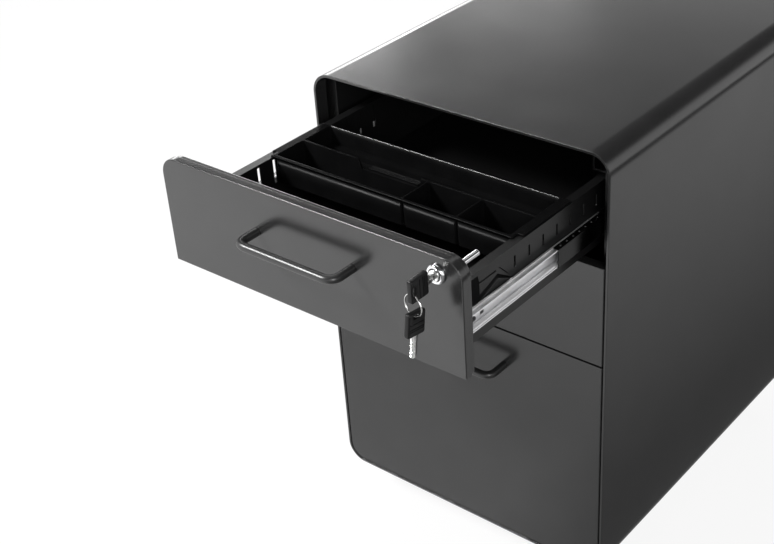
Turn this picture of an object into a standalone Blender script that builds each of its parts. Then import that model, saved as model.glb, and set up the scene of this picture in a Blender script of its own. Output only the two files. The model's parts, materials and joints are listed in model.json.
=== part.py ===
"""Under-desk pedestal: a rolled steel case on four twin-wheel casters, with two box drawers and a file drawer.

Metres, +Z up, the drawers open towards -Y. The root empty stands on the floor below the middle of the
whole object as it is stored, with its top drawer open. Under that empty y is measured from the front rim.
"""
import math

import bmesh
import bpy

# Case
CASE_W = 0.400
CASE_TOP = 0.610
CASE_BASE = 0.0465
CASE_D = 0.500
CASE_R = 0.025
SHEET = 0.0010
RIM_T = 0.0032
RIM_D = 0.0180
RIM_EDGE = 0.0008
FIT = 0.0003
OVERRUN = 0.0200
SQUARE_R = 0.0012

# Side liners, whose front flange is the jamb beside the drawers
JAMB_SET = 0.0195
BACK_SET = 0.0120
BACK_FLANGE = 0.0110

# Hat channels that stiffen the base above the casters
CHANNEL_W = 0.0600
CHANNEL_H = 0.0060
CHANNEL_FOOT = 0.0120

# Drawer fronts
TOP_FRONT_H = 0.1246
MIDDLE_FRONT_H = 0.1250
FRONT_GAP = 0.0018
RIM_GAP = 0.0016
FRONT_T = 0.0150
PAN_D = 0.0085
PAN_EDGE = 0.0010
FRONT_SHEET = 0.0012
FRONT_R = 0.0205
COVER_GAP = 0.0003
COVER_NOSE = 0.0045

# Drawer boxes
BOX_SIDE = 0.0308
BOX_D = 0.4200
BOX_SHEET = 0.0010
BOX_RIM_DROP = 0.0447
BOX_LIP = 0.0105
BOX_HEM = 0.0045
BOX_FLOOR_RISE = 0.0060
FILE_RIM_DROP = 0.0560

# Divider slots of the box sides; those of the left side stand a little nearer the front and run lower
SLOT_W = 0.0018
SLOT_H = 0.0115
SLOT_DROP = 0.0120
SLOT_PITCH = 0.0242
SLOT_FIRST = 0.1001
SLOT_COUNT = 9
LEFT_SLOT_AHEAD = 0.0072
LEFT_SLOT_W = 0.0038
LEFT_SLOT_H = 0.0287
LEFT_SLOT_DROP = 0.0098

# End relief of the box sides: a window, a seam that runs on from its top, and a bent arm below it
WINDOW_FRONT = 0.0070
WINDOW_REAR = 0.0402
WINDOW_TOP = 0.0040
WINDOW_LOW = 0.0350
SEAM_REAR = 0.0692
SEAM_TOP = 0.0120
SEAM_H = 0.0022
SEAM_STEP = 0.0024
ARM_ROOT = 0.0265
ARM_PEAK = 0.0174
ARM_PEAK_AT = 0.0714
ARM_END = 0.0337
ARM_END_AT = 0.0964
ARM_W = 0.0057
SLIT_AT = 0.0740
SLIT_RUN = 0.0135
SLIT_W = 0.0014

# Ball slides
SLIDE_T = 0.0127
SLIDE_SHEET = 0.0012
SLIDE_L = 0.4400
SLIDE_FRONT = 0.0220
SLIDE_DROP = 0.0422
FILE_SLIDE_DROP = 0.1500
INNER_H = 0.0200
INNER_LIP = 0.0100
RACE_R = 0.0022
OUTER_LIP = 0.0088
MID_LIP = 0.0070
CAGE_T = 0.0005
CAGE_L = 0.1500
CAGE_LIP = 0.0070
CAGE_AHEAD = 0.0340

# How far the drawers stand open as stored
TOP_OPEN = 0.2373

# Bent-rod handles
HANDLE_D = 0.0095
HANDLE_PITCH = 0.1262
HANDLE_OUT = 0.0295
HANDLE_BEND = 0.0110
HANDLE_DROP = 0.0482

# Organizer tray
TRAY_D = 0.0950
TRAY_BEHIND = 0.1073
TRAY_LIP_T = 0.0016
TRAY_LIP_OVER = 0.0010
TRAY_WALL = 0.0020
TRAY_DEPTH = 0.0340
TRAY_SIDE_GAP = 0.0010
TRAY_CORNER = 0.0040
ROW_SPLIT = 0.0470
BAY_ONE = 0.0202
BAY_TWO = 0.0900
BAY_WALL = 0.0018
DIP_FROM = -0.0760
DIP_TO = 0.0120
DIP_DEPTH = 0.0120
DIP_RUN = 0.0050
REST_FROM = -0.0680
REST_TO = 0.0030
REST_D = 0.0130
RIB_H = 0.0014
RIB_W = 0.0016
RIB_COUNT = 4
STEP_DEPTH = 0.0110
STEP_RISE = 0.0060
STEP_COUNT = 2
LUG_W = 0.0070
LUG_D = 0.0100

# Lock
LOCK_IN = 0.0338
LOCK_DROP = 0.0184
LOCK_FLANGE_R = 0.0105
LOCK_FLANGE_T = 0.0040
LOCK_BARREL_R = 0.0085
LOCK_BARREL_L = 0.0200
PLUG_R = 0.0060
PLUG_PROUD = 0.0010
KEYWAY_W = 0.0030
KEYWAY_H = 0.0090
CRANK_R = 0.0055
CRANK_T = 0.0030
ROD_R = 0.0032
ROD_L = 0.0437
ROD_START = 0.0020

# Keys and ring
KEY_T = 0.0022
KEY_BLADE_H = 0.0078
KEY_BLADE_L = 0.0240
KEY_INSERTED = 0.0140
BOW_L = 0.0242
BOW_H = 0.0235
BOW_T = 0.0062
BOW_R = 0.0022
EYE_R = 0.0019
EYE_H = 0.0105
EYE_IN = 0.0044
HEEL_IN = 0.0060
RING_R = 0.0112
RING_WIRE = 0.0008
RING_SLACK = 0.0008
SPARE_TILT = 0.1850

# Lock bar behind the right jamb
BAR_W = 0.0180
BAR_T = 0.0020
BAR_SET = 0.0450
BAR_ARM_WALL = 0.0030
BAR_TAIL = 0.0400
BAR_HOOK = 0.0090
BAR_HOOK_H = 0.0080
BAR_HOOK_DROP = 0.0220
BAR_THROW = 0.0080
BAR_CLEAR = 0.0020
CATCH_OUT = 0.0075
CATCH_L = 0.0160
CATCH_H = 0.0100

# Hanging-file rails in the bottom drawer
RAIL_H = 0.0140
RAIL_T = 0.0020
RAIL_IN = 0.0192
RAIL_FOOT = 0.0090

# Casters
WHEEL_R = 0.0190
WHEEL_W = 0.0090
TREAD_R = 0.0030
HUB_R = 0.0100
HUB_PROUD = 0.0010
AXLE_R = 0.0020
AXLE_CLEAR = 0.0003
YOKE_W = 0.0084
YOKE_SIDE = 0.0010
YOKE_DISC_R = 0.0150
YOKE_DISC_T = 0.0060
TRAIL = 0.0140
STEM_R = 0.0050
CASTER_IN_X = 0.0480
CASTER_IN_FRONT = 0.0620
CASTER_IN_REAR = 0.0680

# Facet counts and outline shares
CORNER_STEPS = 6
ROUND_STEPS = 16
WHEEL_STEPS = 22
RING_STEPS = 20
WIRE_STEPS = 6
BEND_STEPS = 4
RACE_SHARES = (-1.0, -0.6, 0.0, 0.6, 1.0)
BLADE_POINT_SHARE = 0.62
BEVEL_SHARE = 0.29
YOKE_SHARES = ((-1.0, 1.0), (-0.85, 0.62), (0.2, -0.05), (0.62, -0.3), (1.0, -0.3), (1.28, 0.1),
               (1.28, 0.55), (1.0, 1.0))

# Sizes that follow from the ones above
HALF_W = CASE_W / 2
BOX_HALF = HALF_W - BOX_SIDE
LINER_FACE = BOX_HALF + SLIDE_T + FIT
MEMBER_STEP = 2 * (CAGE_T + 2 * FIT + RACE_R + SLIDE_SHEET)
OUTER_H = INNER_H + MEMBER_STEP
FILE_OUTER_H = OUTER_H + MEMBER_STEP
FILE_INNER_LIP = SLIDE_T - 2 * (SLIDE_SHEET + FIT)
RIM_IN = RIM_T + RIM_GAP
FRONT_HALF = HALF_W - RIM_IN
TOP_FRONT_HIGH = CASE_TOP - RIM_IN
SPLIT_TOP = TOP_FRONT_HIGH - TOP_FRONT_H
SPLIT_LOW = SPLIT_TOP - FRONT_GAP - MIDDLE_FRONT_H
HANDLE_REACH = HANDLE_OUT + HANDLE_D / 2
LOCK_X = HALF_W - LOCK_IN
LOCK_Z = TOP_FRONT_HIGH - LOCK_DROP
EYE_OUT = LOCK_FLANGE_T + PLUG_PROUD - KEY_INSERTED + KEY_BLADE_L + BOW_L - EYE_IN
KEY_REACH = (EYE_OUT + (BOW_H / 2 - BOW_R) * math.cos(SPARE_TILT)
             + (BOW_L - EYE_IN - BOW_R) * math.sin(SPARE_TILT) + BOW_R)
CENTRE_Y = (CASE_D - TOP_OPEN - max(KEY_REACH, HANDLE_REACH)) / 2


def clear_scene():
    for old in list(bpy.data.objects):
        bpy.data.objects.remove(old)


def paint(name, colour, roughness, metallic=0.0):
    mat = bpy.data.materials.new(name)
    mat.use_nodes = True
    shader = mat.node_tree.nodes["Principled BSDF"]
    shader.inputs["Base Color"].default_value = (*colour, 1.0)
    shader.inputs["Roughness"].default_value = roughness
    shader.inputs["Metallic"].default_value = metallic
    return mat


def empty(name, parent, place):
    pivot = bpy.data.objects.new(name, None)
    bpy.context.collection.objects.link(pivot)
    pivot.parent = parent
    pivot.location = place
    return pivot


def solid(name, bm, mat, parent, place=(0.0, 0.0, 0.0), smooth=None):
    bmesh.ops.recalc_face_normals(bm, faces=bm.faces[:])
    mesh = bpy.data.meshes.new(name)
    bm.to_mesh(mesh)
    bm.free()
    if smooth:
        mesh.shade_smooth()
        mesh.set_sharp_from_angle(angle=math.radians(smooth))
    obj = bpy.data.objects.new(name, mesh)
    bpy.context.collection.objects.link(obj)
    obj.data.materials.append(mat)
    obj.parent = parent
    obj.location = place
    return obj


def tool(name, bm, parent, place=(0.0, 0.0, 0.0)):
    """A cutter, kept out of the model."""
    obj = solid(name, bm, bpy.data.materials["cutter"], parent, place)
    obj.hide_render = True
    obj.display_type = 'WIRE'
    return obj


def combine(obj, other, operation='DIFFERENCE'):
    mod = obj.modifiers.new(other.name, 'BOOLEAN')
    mod.operation = operation
    mod.solver = 'EXACT'
    mod.object = other
    return obj


# Points in a plane are (u, v): X and Z for depth runs, Y and Z for side runs, X and Y for height runs.
def lift(axis, point, along):
    u, v = point
    return {'X': (along, u, v), 'Y': (u, along, v), 'Z': (u, v, along)}[axis]


def skin(bm, loops, ring=False):
    """Close a row of matching loops into one body, with end caps or as a ring."""
    rings = [[bm.verts.new(point) for point in loop] for loop in loops]
    pairs = list(zip(rings, rings[1:]))
    if ring:
        pairs.append((rings[-1], rings[0]))
    count = len(rings[0])
    for first, second in pairs:
        for i in range(count):
            j = (i + 1) % count
            bm.faces.new((first[i], first[j], second[j], second[i]))
    if not ring:
        bm.faces.new(rings[0][::-1])
        bm.faces.new(rings[-1])
    return bm


def prism(bm, axis, outline, low, high):
    return skin(bm, [[lift(axis, point, low) for point in outline],
                     [lift(axis, point, high) for point in outline]])


def box(bm, x0, x1, y0, y1, z0, z1):
    return prism(bm, 'Z', [(x0, y0), (x1, y0), (x1, y1), (x0, y1)], z0, z1)


def rounded(u0, u1, v0, v1, radii, steps=CORNER_STEPS, inset=0.0):
    """A rectangle with its own radius at each corner: low left, low right, high right, high left."""
    points = []
    corners = ((u0, v0, 1, 1, 180), (u1, v0, -1, 1, 270), (u1, v1, -1, -1, 0), (u0, v1, 1, -1, 90))
    for (u, v, du, dv, start), radius in zip(corners, radii):
        bend = max(radius - inset, SQUARE_R / 2)
        cu = u + du * (inset + bend)
        cv = v + dv * (inset + bend)
        for i in range(steps + 1):
            angle = math.radians(start + 90 * i / steps)
            points.append((cu + bend * math.cos(angle), cv + bend * math.sin(angle)))
    return points


def folded(points, thickness):
    """The outline of a bent sheet: the given face and the one a sheet's thickness to its left."""
    other = []
    last = len(points) - 1
    for i, (u, v) in enumerate(points):
        a = points[max(i - 1, 0)]
        b = points[min(i + 1, last)]
        before = math.atan2(v - a[1], u - a[0]) if i else None
        after = math.atan2(b[1] - v, b[0] - u) if i < last else None
        before = after if before is None else before
        after = before if after is None else after
        half = ((after - before + math.pi) % (2 * math.pi) - math.pi) / 2
        reach = thickness / math.cos(half)
        angle = before + half + math.pi / 2
        other.append((u + reach * math.cos(angle), v + reach * math.sin(angle)))
    return points + other[::-1]


def turned(bm, axis, centre, profile, steps=ROUND_STEPS, ring=False):
    """Turn (along, radius) points about an axis through a centre given in the plane across it."""
    loops = []
    for along, radius in profile:
        loops.append([lift(axis, (centre[0] + radius * math.cos(2 * math.pi * i / steps),
                                  centre[1] + radius * math.sin(2 * math.pi * i / steps)), along)
                      for i in range(steps)])
    return skin(bm, loops, ring)


def round_bar(bm, axis, centre, radius, low, high, steps=ROUND_STEPS):
    return turned(bm, axis, centre, [(low, radius), (high, radius)], steps)


def swept(points, radius, steps=ROUND_STEPS - BEND_STEPS):
    """A round bar along points that lie in one level plane."""
    loops = []
    last = len(points) - 1
    for i, (x, y, z) in enumerate(points):
        a = points[max(i - 1, 0)]
        b = points[min(i + 1, last)]
        if i == last:
            heading = math.atan2(y - a[1], x - a[0])
        elif i == 0:
            heading = math.atan2(b[1] - y, b[0] - x)
        else:
            ahead = math.hypot(b[0] - x, b[1] - y)
            behind = math.hypot(x - a[0], y - a[1])
            heading = math.atan2((b[1] - y) / ahead + (y - a[1]) / behind,
                                 (b[0] - x) / ahead + (x - a[0]) / behind)
        loop = []
        for j in range(steps):
            turn = 2 * math.pi * (j + 0.5) / steps
            side = radius * math.cos(turn)
            loop.append((x - side * math.sin(heading), y + side * math.cos(heading),
                         z + radius * math.sin(turn)))
        loops.append(loop)
    return skin(bmesh.new(), loops)


def case_outline(inset, y):
    points = rounded(-HALF_W, HALF_W, CASE_BASE, CASE_TOP, (CASE_R,) * 4, CORNER_STEPS, inset)
    return [lift('Y', point, y) for point in points]


def make_case(root, steel, zinc):
    loops = [case_outline(RIM_EDGE, 0.0), case_outline(0.0, RIM_EDGE),
             case_outline(0.0, CASE_D), case_outline(RIM_T, CASE_D),
             case_outline(RIM_T, CASE_D - BACK_SET + SHEET), case_outline(SHEET, CASE_D - BACK_SET + SHEET),
             case_outline(SHEET, RIM_D), case_outline(RIM_T, RIM_D), case_outline(RIM_T, RIM_EDGE),
             case_outline(RIM_T - RIM_EDGE, 0.0)]
    wrap = solid("case_wrap", skin(bmesh.new(), loops, ring=True), steel, root, smooth=30)
    holes = bmesh.new()
    for name, x, y in caster_places():
        round_bar(holes, 'Z', (x, y), STEM_R + AXLE_CLEAR, CASE_BASE - SHEET, CASE_BASE + SHEET * 2,
                  CORNER_STEPS * 2)
    combine(wrap, tool("stem_holes", holes, root))

    rear = CASE_D - BACK_SET + SHEET - FIT
    back = rear - BACK_FLANGE
    edge = SHEET + FIT
    loops = [case_outline(edge + SQUARE_R, back), case_outline(edge, back + SQUARE_R),
             case_outline(edge, rear), case_outline(edge + SHEET, rear),
             case_outline(edge + SHEET, back + SHEET)]
    solid("back_panel", skin(bmesh.new(), loops), steel, root, smooth=30)

    # A channel at each side: jamb flange, slide panel and rear flange, trimmed to the case's inner corners.
    limit = bmesh.new()
    skin(limit, [case_outline(SHEET + FIT, JAMB_SET - OVERRUN), case_outline(SHEET + FIT, CASE_D + OVERRUN)])
    limit = tool("liner_limit", limit, root)
    rear = back - FIT
    for name, side in (("liner_left", -1), ("liner_right", 1)):
        outer = HALF_W - SHEET - FIT
        path = [(outer, JAMB_SET), (LINER_FACE, JAMB_SET), (LINER_FACE, rear), (outer, rear)]
        outline = [(side * u, v) for u, v in folded(path, -SHEET)]
        bm = prism(bmesh.new(), 'Z', outline, CASE_BASE - OVERRUN, CASE_TOP + OVERRUN)
        liner = solid(name, bm, steel, root)
        combine(liner, limit, 'INTERSECT')
        if side > 0:
            low, high = arm_heights()
            wide = (LINER_FACE - OVERRUN, LINER_FACE + OVERRUN / 2)
            cuts = box(bmesh.new(), *wide, BAR_SET - BAR_CLEAR, BAR_SET + BAR_T + BAR_CLEAR,
                       low - BAR_CLEAR, high + BAR_THROW + BAR_CLEAR)
            for z in hook_heights():
                box(cuts, *wide, BAR_SET + BAR_W - BAR_T - BAR_CLEAR, BAR_SET + BAR_W + BAR_CLEAR,
                    z - BAR_CLEAR, z + BAR_HOOK_H + BAR_THROW + BAR_CLEAR)
            combine(liner, tool("liner_windows", cuts, root))

    # Two hat channels across the base, over the caster stems.
    low = CASE_BASE + SHEET + FIT
    reach = LINER_FACE - CHANNEL_FOOT
    for name, y in (("front", CASTER_IN_FRONT), ("rear", CASE_D - CASTER_IN_REAR)):
        a = y - CHANNEL_W / 2
        b = y + CHANNEL_W / 2
        top = low + CHANNEL_H
        path = [(b + CHANNEL_FOOT, low), (b, low), (b, top), (a, top), (a, low), (a - CHANNEL_FOOT, low)]
        bm = prism(bmesh.new(), 'X', folded(path, -SHEET), -reach, reach)
        solid("base_channel_" + name, bm, zinc, root)


def hook_heights():
    """Undersides of the lock bar's hooks for the middle and the bottom drawer."""
    return tuple(split - FRONT_GAP - drop - BAR_HOOK_DROP
                 for split, drop in ((SPLIT_TOP, BOX_RIM_DROP), (SPLIT_LOW, FILE_RIM_DROP)))


def arm_heights():
    """Underside and top of the lock bar's arm, whose slot takes the lock's rod at any height of the bar."""
    edge = BAR_THROW + ROD_R + BAR_CLEAR + BAR_ARM_WALL
    pin = LOCK_Z - BAR_THROW
    return pin - edge, pin + edge


def make_lock_bar(root, zinc):
    """A flat bar that the lock lifts: an arm round the lock's rod above, and a hook for each drawer below."""
    low_x = LINER_FACE + SHEET + FIT
    low, high = arm_heights()
    hooks = hook_heights()
    slot = ROD_R + BAR_CLEAR
    bm = box(bmesh.new(), low_x, low_x + BAR_T, BAR_SET, BAR_SET + BAR_W, min(hooks) - BAR_TAIL, high)
    bar = solid("lock_bar", bm, zinc, root)
    pin = LOCK_Z - BAR_THROW
    arm = box(bmesh.new(), LOCK_X - BAR_THROW - slot - BAR_ARM_WALL, low_x + BAR_T / 2,
              BAR_SET, BAR_SET + BAR_T, low, high)
    for z in hooks:
        box(arm, LINER_FACE - BAR_HOOK, low_x + BAR_T / 2, BAR_SET + BAR_W - BAR_T, BAR_SET + BAR_W,
            z, z + BAR_HOOK_H)
    combine(bar, tool("lock_bar_arms", arm, root), 'UNION')
    reach = BAR_THROW + slot
    outline = [(LOCK_X - reach, pin - reach), (LOCK_X + slot, pin - reach),
               (LOCK_X + slot, pin + reach), (LOCK_X - reach, pin + reach)]
    combine(bar, tool("lock_bar_slot", prism(bmesh.new(), 'Y', outline, BAR_SET - OVERRUN / 2,
                                             BAR_SET + BAR_T + SHEET), root))


def front_outline(low, high, radii, inset, y):
    points = rounded(-FRONT_HALF, FRONT_HALF, low, high, radii, CORNER_STEPS, inset)
    return [lift('Y', point, y) for point in points]


def make_front(prefix, low, high, radii, steel, body, locked=False):
    """A pan with a cover nested in it, and its bent-rod handle."""
    def ring(inset, y):
        return front_outline(low, high, radii, inset, y)
    soft = PAN_EDGE * BEVEL_SHARE
    loops = [ring(PAN_EDGE, 0.0), ring(soft, soft), ring(0.0, PAN_EDGE), ring(0.0, PAN_D),
             ring(FRONT_SHEET, PAN_D), ring(FRONT_SHEET, FRONT_SHEET)]
    pan = solid(prefix + "_front", skin(bmesh.new(), loops), steel, body, smooth=30)

    edge = FRONT_SHEET + COVER_GAP
    loops = [ring(edge + PAN_EDGE, FRONT_T), ring(edge + soft, FRONT_T - soft), ring(edge, FRONT_T - PAN_EDGE),
             ring(edge, COVER_NOSE), ring(edge + FRONT_SHEET, COVER_NOSE),
             ring(edge + FRONT_SHEET, FRONT_T - FRONT_SHEET)]
    cover = solid(prefix + "_front_cover", skin(bmesh.new(), loops), steel, body, smooth=30)

    if locked:
        bore = round_bar(bmesh.new(), 'Y', (LOCK_X, LOCK_Z), LOCK_BARREL_R + FIT, -OVERRUN, FRONT_T + OVERRUN)
        bore = tool(prefix + "_lock_bore", bore, body)
        combine(pan, bore)
        combine(cover, bore)

    z = high - HANDLE_DROP
    points = []
    half = HANDLE_PITCH / 2
    bend = HANDLE_BEND
    for side in (-1, 1):
        arc = []
        for i in range(BEND_STEPS + 1):
            angle = math.pi / 2 * i / BEND_STEPS
            arc.append((side * (half - bend + bend * math.cos(angle)),
                        -HANDLE_OUT + bend - bend * math.sin(angle), z))
        run = [(side * half, -FIT, z)] + arc
        points += run if side < 0 else run[::-1]
    solid(prefix + "_handle", swept(points, HANDLE_D / 2), steel, body, smooth=50)


def make_box(prefix, floor, rim, slide_z, steel, body, slots):
    """A folded tub with inward lips and hems, slotted for dividers, with reliefs at its front end."""
    near = FRONT_T + FIT
    far = near + BOX_D

    def loop(side, end, z):
        return [(-BOX_HALF + side, near + end, z), (BOX_HALF - side, near + end, z),
                (BOX_HALF - side, far - end, z), (-BOX_HALF + side, far - end, z)]
    loops = [loop(0.0, 0.0, floor), loop(0.0, 0.0, rim), loop(BOX_LIP, BOX_HEM, rim),
             loop(BOX_LIP, BOX_HEM, rim - BOX_SHEET), loop(BOX_SHEET, BOX_SHEET, rim - BOX_SHEET),
             loop(BOX_SHEET, BOX_SHEET, floor + BOX_SHEET)]
    tub = solid(prefix + "_box", skin(bmesh.new(), loops), steel, body)

    cuts = bmesh.new()
    wide = BOX_HALF + OVERRUN
    if slots:
        for i in range(SLOT_COUNT):
            y = near + SLOT_FIRST + i * SLOT_PITCH
            top = rim - SLOT_DROP
            box(cuts, 0.0, wide, y - SLOT_W / 2, y + SLOT_W / 2, top - SLOT_H, top)
            y -= LEFT_SLOT_AHEAD
            top = rim - LEFT_SLOT_DROP
            box(cuts, -wide, -OVERRUN, y - LEFT_SLOT_W / 2, y + LEFT_SLOT_W / 2, top - LEFT_SLOT_H, top)
    a = near + WINDOW_FRONT
    b = near + WINDOW_REAR
    c = b + SEAM_STEP
    seam = rim - SEAM_TOP
    seam_end = near + SEAM_REAR
    peak = near + ARM_PEAK_AT
    low = rim - WINDOW_LOW
    slit = near + SLIT_AT
    for x0, x1, ahead in ((0.0, wide, 0.0), (-wide, -OVERRUN, LEFT_SLOT_AHEAD)):
        end = near + ARM_END_AT - ahead
        outline = [(a, rim - WINDOW_TOP), (b, rim - WINDOW_TOP), (c, seam), (seam_end, seam),
                   (seam_end, seam - SEAM_H), (c, seam - SEAM_H), (c, rim - ARM_ROOT), (peak, rim - ARM_PEAK),
                   (end, rim - ARM_END), (end, rim - ARM_END - SLIT_W),
                   (peak + SLIT_W, rim - ARM_PEAK - ARM_W), (b + ARM_W, low + SLIT_W),
                   (b + ARM_W, low), (a, low)]
        prism(cuts, 'X', outline, x0, x1)
        outline = [(slit, seam), (slit + SLIT_RUN, seam - SLIT_RUN),
                   (slit + SLIT_RUN + SLIT_W, seam - SLIT_RUN), (slit + SLIT_W, seam)]
        prism(cuts, 'X', outline, x0, x1)
    combine(tub, tool(prefix + "_box_cuts", cuts, body))
    return tub


def channel(web, tip, high, groove, out):
    """Closed outline of a slide member; the flanges run from the web towards the tip."""
    half = high / 2 - SLIDE_SHEET
    way = 1 if tip > web else -1
    middle = web + way * (abs(tip - web) + SLIDE_SHEET) / 2
    run = []
    for share in RACE_SHARES:
        dip = groove * math.sqrt(max(0.0, 1 - share * share))
        run.append((middle + way * groove * share, half - dip if out else half + dip - groove))
    inner = [(web + way * SLIDE_SHEET, half if out else half - groove)]
    upper = inner + run + [(tip, half if out else half - groove)]
    path = [(u, -v) for u, v in upper[::-1]] + upper
    return folded(path, way * SLIDE_SHEET)


def member(name, mat, parent, side, section, near, length, height):
    outline = [(side * (BOX_HALF + u), height + v) for u, v in section]
    return solid(name, prism(bmesh.new(), 'Y', outline, near, near + length), mat, parent, smooth=40)


def make_slides(prefix, height, open_by, full, zinc, root, body):
    """A pair of ball slides: members on the case, running cages or middle members, members on the drawer."""
    web = SLIDE_T
    tip = FILE_INNER_LIP if full else INNER_LIP
    inner = channel(FIT, tip, INNER_H, RACE_R, True)
    outer_h = FILE_OUTER_H if full else OUTER_H
    outer_tip = web - OUTER_LIP
    outer = channel(web, outer_tip, outer_h, RACE_R, False)
    half_way = open_by / 2
    middle = empty(prefix + "_slide_middle", root, (0.0, -half_way, 0.0))
    for name, side in (("left", -1), ("right", 1)):
        member(f"{prefix}_slide_case_{name}", zinc, root, side, outer, SLIDE_FRONT, SLIDE_L, height)
        member(f"{prefix}_slide_drawer_{name}", zinc, body, side, inner, FRONT_T + FIT, BOX_D, height)
        if full:
            wall = web - SLIDE_SHEET - FIT
            section = channel(wall, wall - MID_LIP, OUTER_H, RACE_R, False)
            member(f"{prefix}_slide_middle_{name}", zinc, middle, side, section, SLIDE_FRONT, SLIDE_L, height)
        else:
            wall = web - SLIDE_SHEET - FIT
            half = INNER_H / 2 + FIT
            back = wall - CAGE_T
            path = [(wall - CAGE_LIP, -half), (back, -half), (back, half), (wall - CAGE_LIP, half)]
            outline = [(side * (BOX_HALF + u), height + v) for u, v in folded(path, -CAGE_T)]
            near = SLIDE_FRONT + CAGE_AHEAD
            cage = prism(bmesh.new(), 'Y', outline, near, near + CAGE_L)
            solid(f"{prefix}_slide_cage_{name}", cage, zinc, middle)


def make_tray(plastic, body, rim):
    """A pen tray: a long bay, two small bays, and behind them a stepped bay with a ribbed pen rest."""
    near = FRONT_T + TRAY_BEHIND
    far = near + TRAY_D
    lip_low = rim + FIT
    top = lip_low + TRAY_LIP_T
    half = BOX_HALF - TRAY_LIP_OVER
    inner = BOX_HALF - BOX_LIP - TRAY_SIDE_GAP
    low = top - TRAY_DEPTH
    holder = empty("tray_frame", body, (0.0, near, 0.0))
    d = TRAY_D
    lip = prism(bmesh.new(), 'Z', rounded(-half, half, 0.0, d, (TRAY_CORNER,) * 4, BEND_STEPS), lip_low, top)
    tray = solid("tray", lip, plastic, holder)
    hull = prism(bmesh.new(), 'Z', rounded(-inner, inner, TRAY_WALL, d - TRAY_WALL, (TRAY_CORNER,) * 4,
                                           BEND_STEPS), low, lip_low + TRAY_LIP_T / 2)
    combine(tray, tool("tray_hull", hull, holder), 'UNION')

    floor = low + TRAY_WALL
    high = top + OVERRUN
    left = -inner + TRAY_WALL
    right = inner - TRAY_WALL
    front = TRAY_WALL * 2
    back = d - TRAY_WALL * 2
    split = ROW_SPLIT
    cuts = bmesh.new()
    bays = [(left, BAY_ONE), (BAY_ONE + BAY_WALL, BAY_TWO), (BAY_TWO + BAY_WALL, right)]
    for x0, x1 in bays:
        box(cuts, x0, x1, front, split, floor, high)
    # Rear bay: a floor that climbs in steps towards the back.
    rear = split + TRAY_WALL
    outline = [(rear, floor)]
    for i in range(STEP_COUNT):
        y = back - STEP_DEPTH * (STEP_COUNT - i)
        outline += [(y, floor + STEP_RISE * i), (y, floor + STEP_RISE * (i + 1))]
    outline += [(back, floor + STEP_RISE * STEP_COUNT), (back, high), (rear, high)]
    prism(cuts, 'X', outline, left, right)
    combine(tray, tool("tray_bays", cuts, holder))

    # A pen rest stands behind the divider, as high as the bottom of the dip in it, with ribs along it.
    dip = top - DIP_DEPTH
    rest = dip - TRAY_WALL / 4
    pitch = REST_D / (RIB_COUNT + 1)
    outline = [(split + TRAY_WALL / 2, rest), (split + TRAY_WALL / 2, low + TRAY_WALL / 2),
               (rear + REST_D, low + TRAY_WALL / 2), (rear + REST_D, rest)]
    for i in range(RIB_COUNT, 0, -1):
        y = rear + pitch * i
        outline += [(y + RIB_W / 2, rest), (y + RIB_W / 2, rest + RIB_H),
                    (y - RIB_W / 2, rest + RIB_H), (y - RIB_W / 2, rest)]
    bm = prism(bmesh.new(), 'X', outline, REST_FROM, REST_TO)
    combine(tray, tool("tray_rest", bm, holder), 'UNION')

    cuts = bmesh.new()
    outline = [(DIP_FROM, high), (DIP_FROM, top), (DIP_FROM + DIP_RUN, dip), (DIP_TO - DIP_RUN, dip),
               (DIP_TO, top), (DIP_TO, high)]
    prism(cuts, 'Y', outline, split - TRAY_WALL / 2, rear + RIB_W / 2)
    for low_x, high_x in ((-half - OVERRUN, LUG_W - half), (half - LUG_W, half + OVERRUN)):
        box(cuts, low_x, high_x, -OVERRUN, LUG_D, lip_low - SHEET, high)
    combine(tray, tool("tray_dip", cuts, holder))
    return holder


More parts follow.
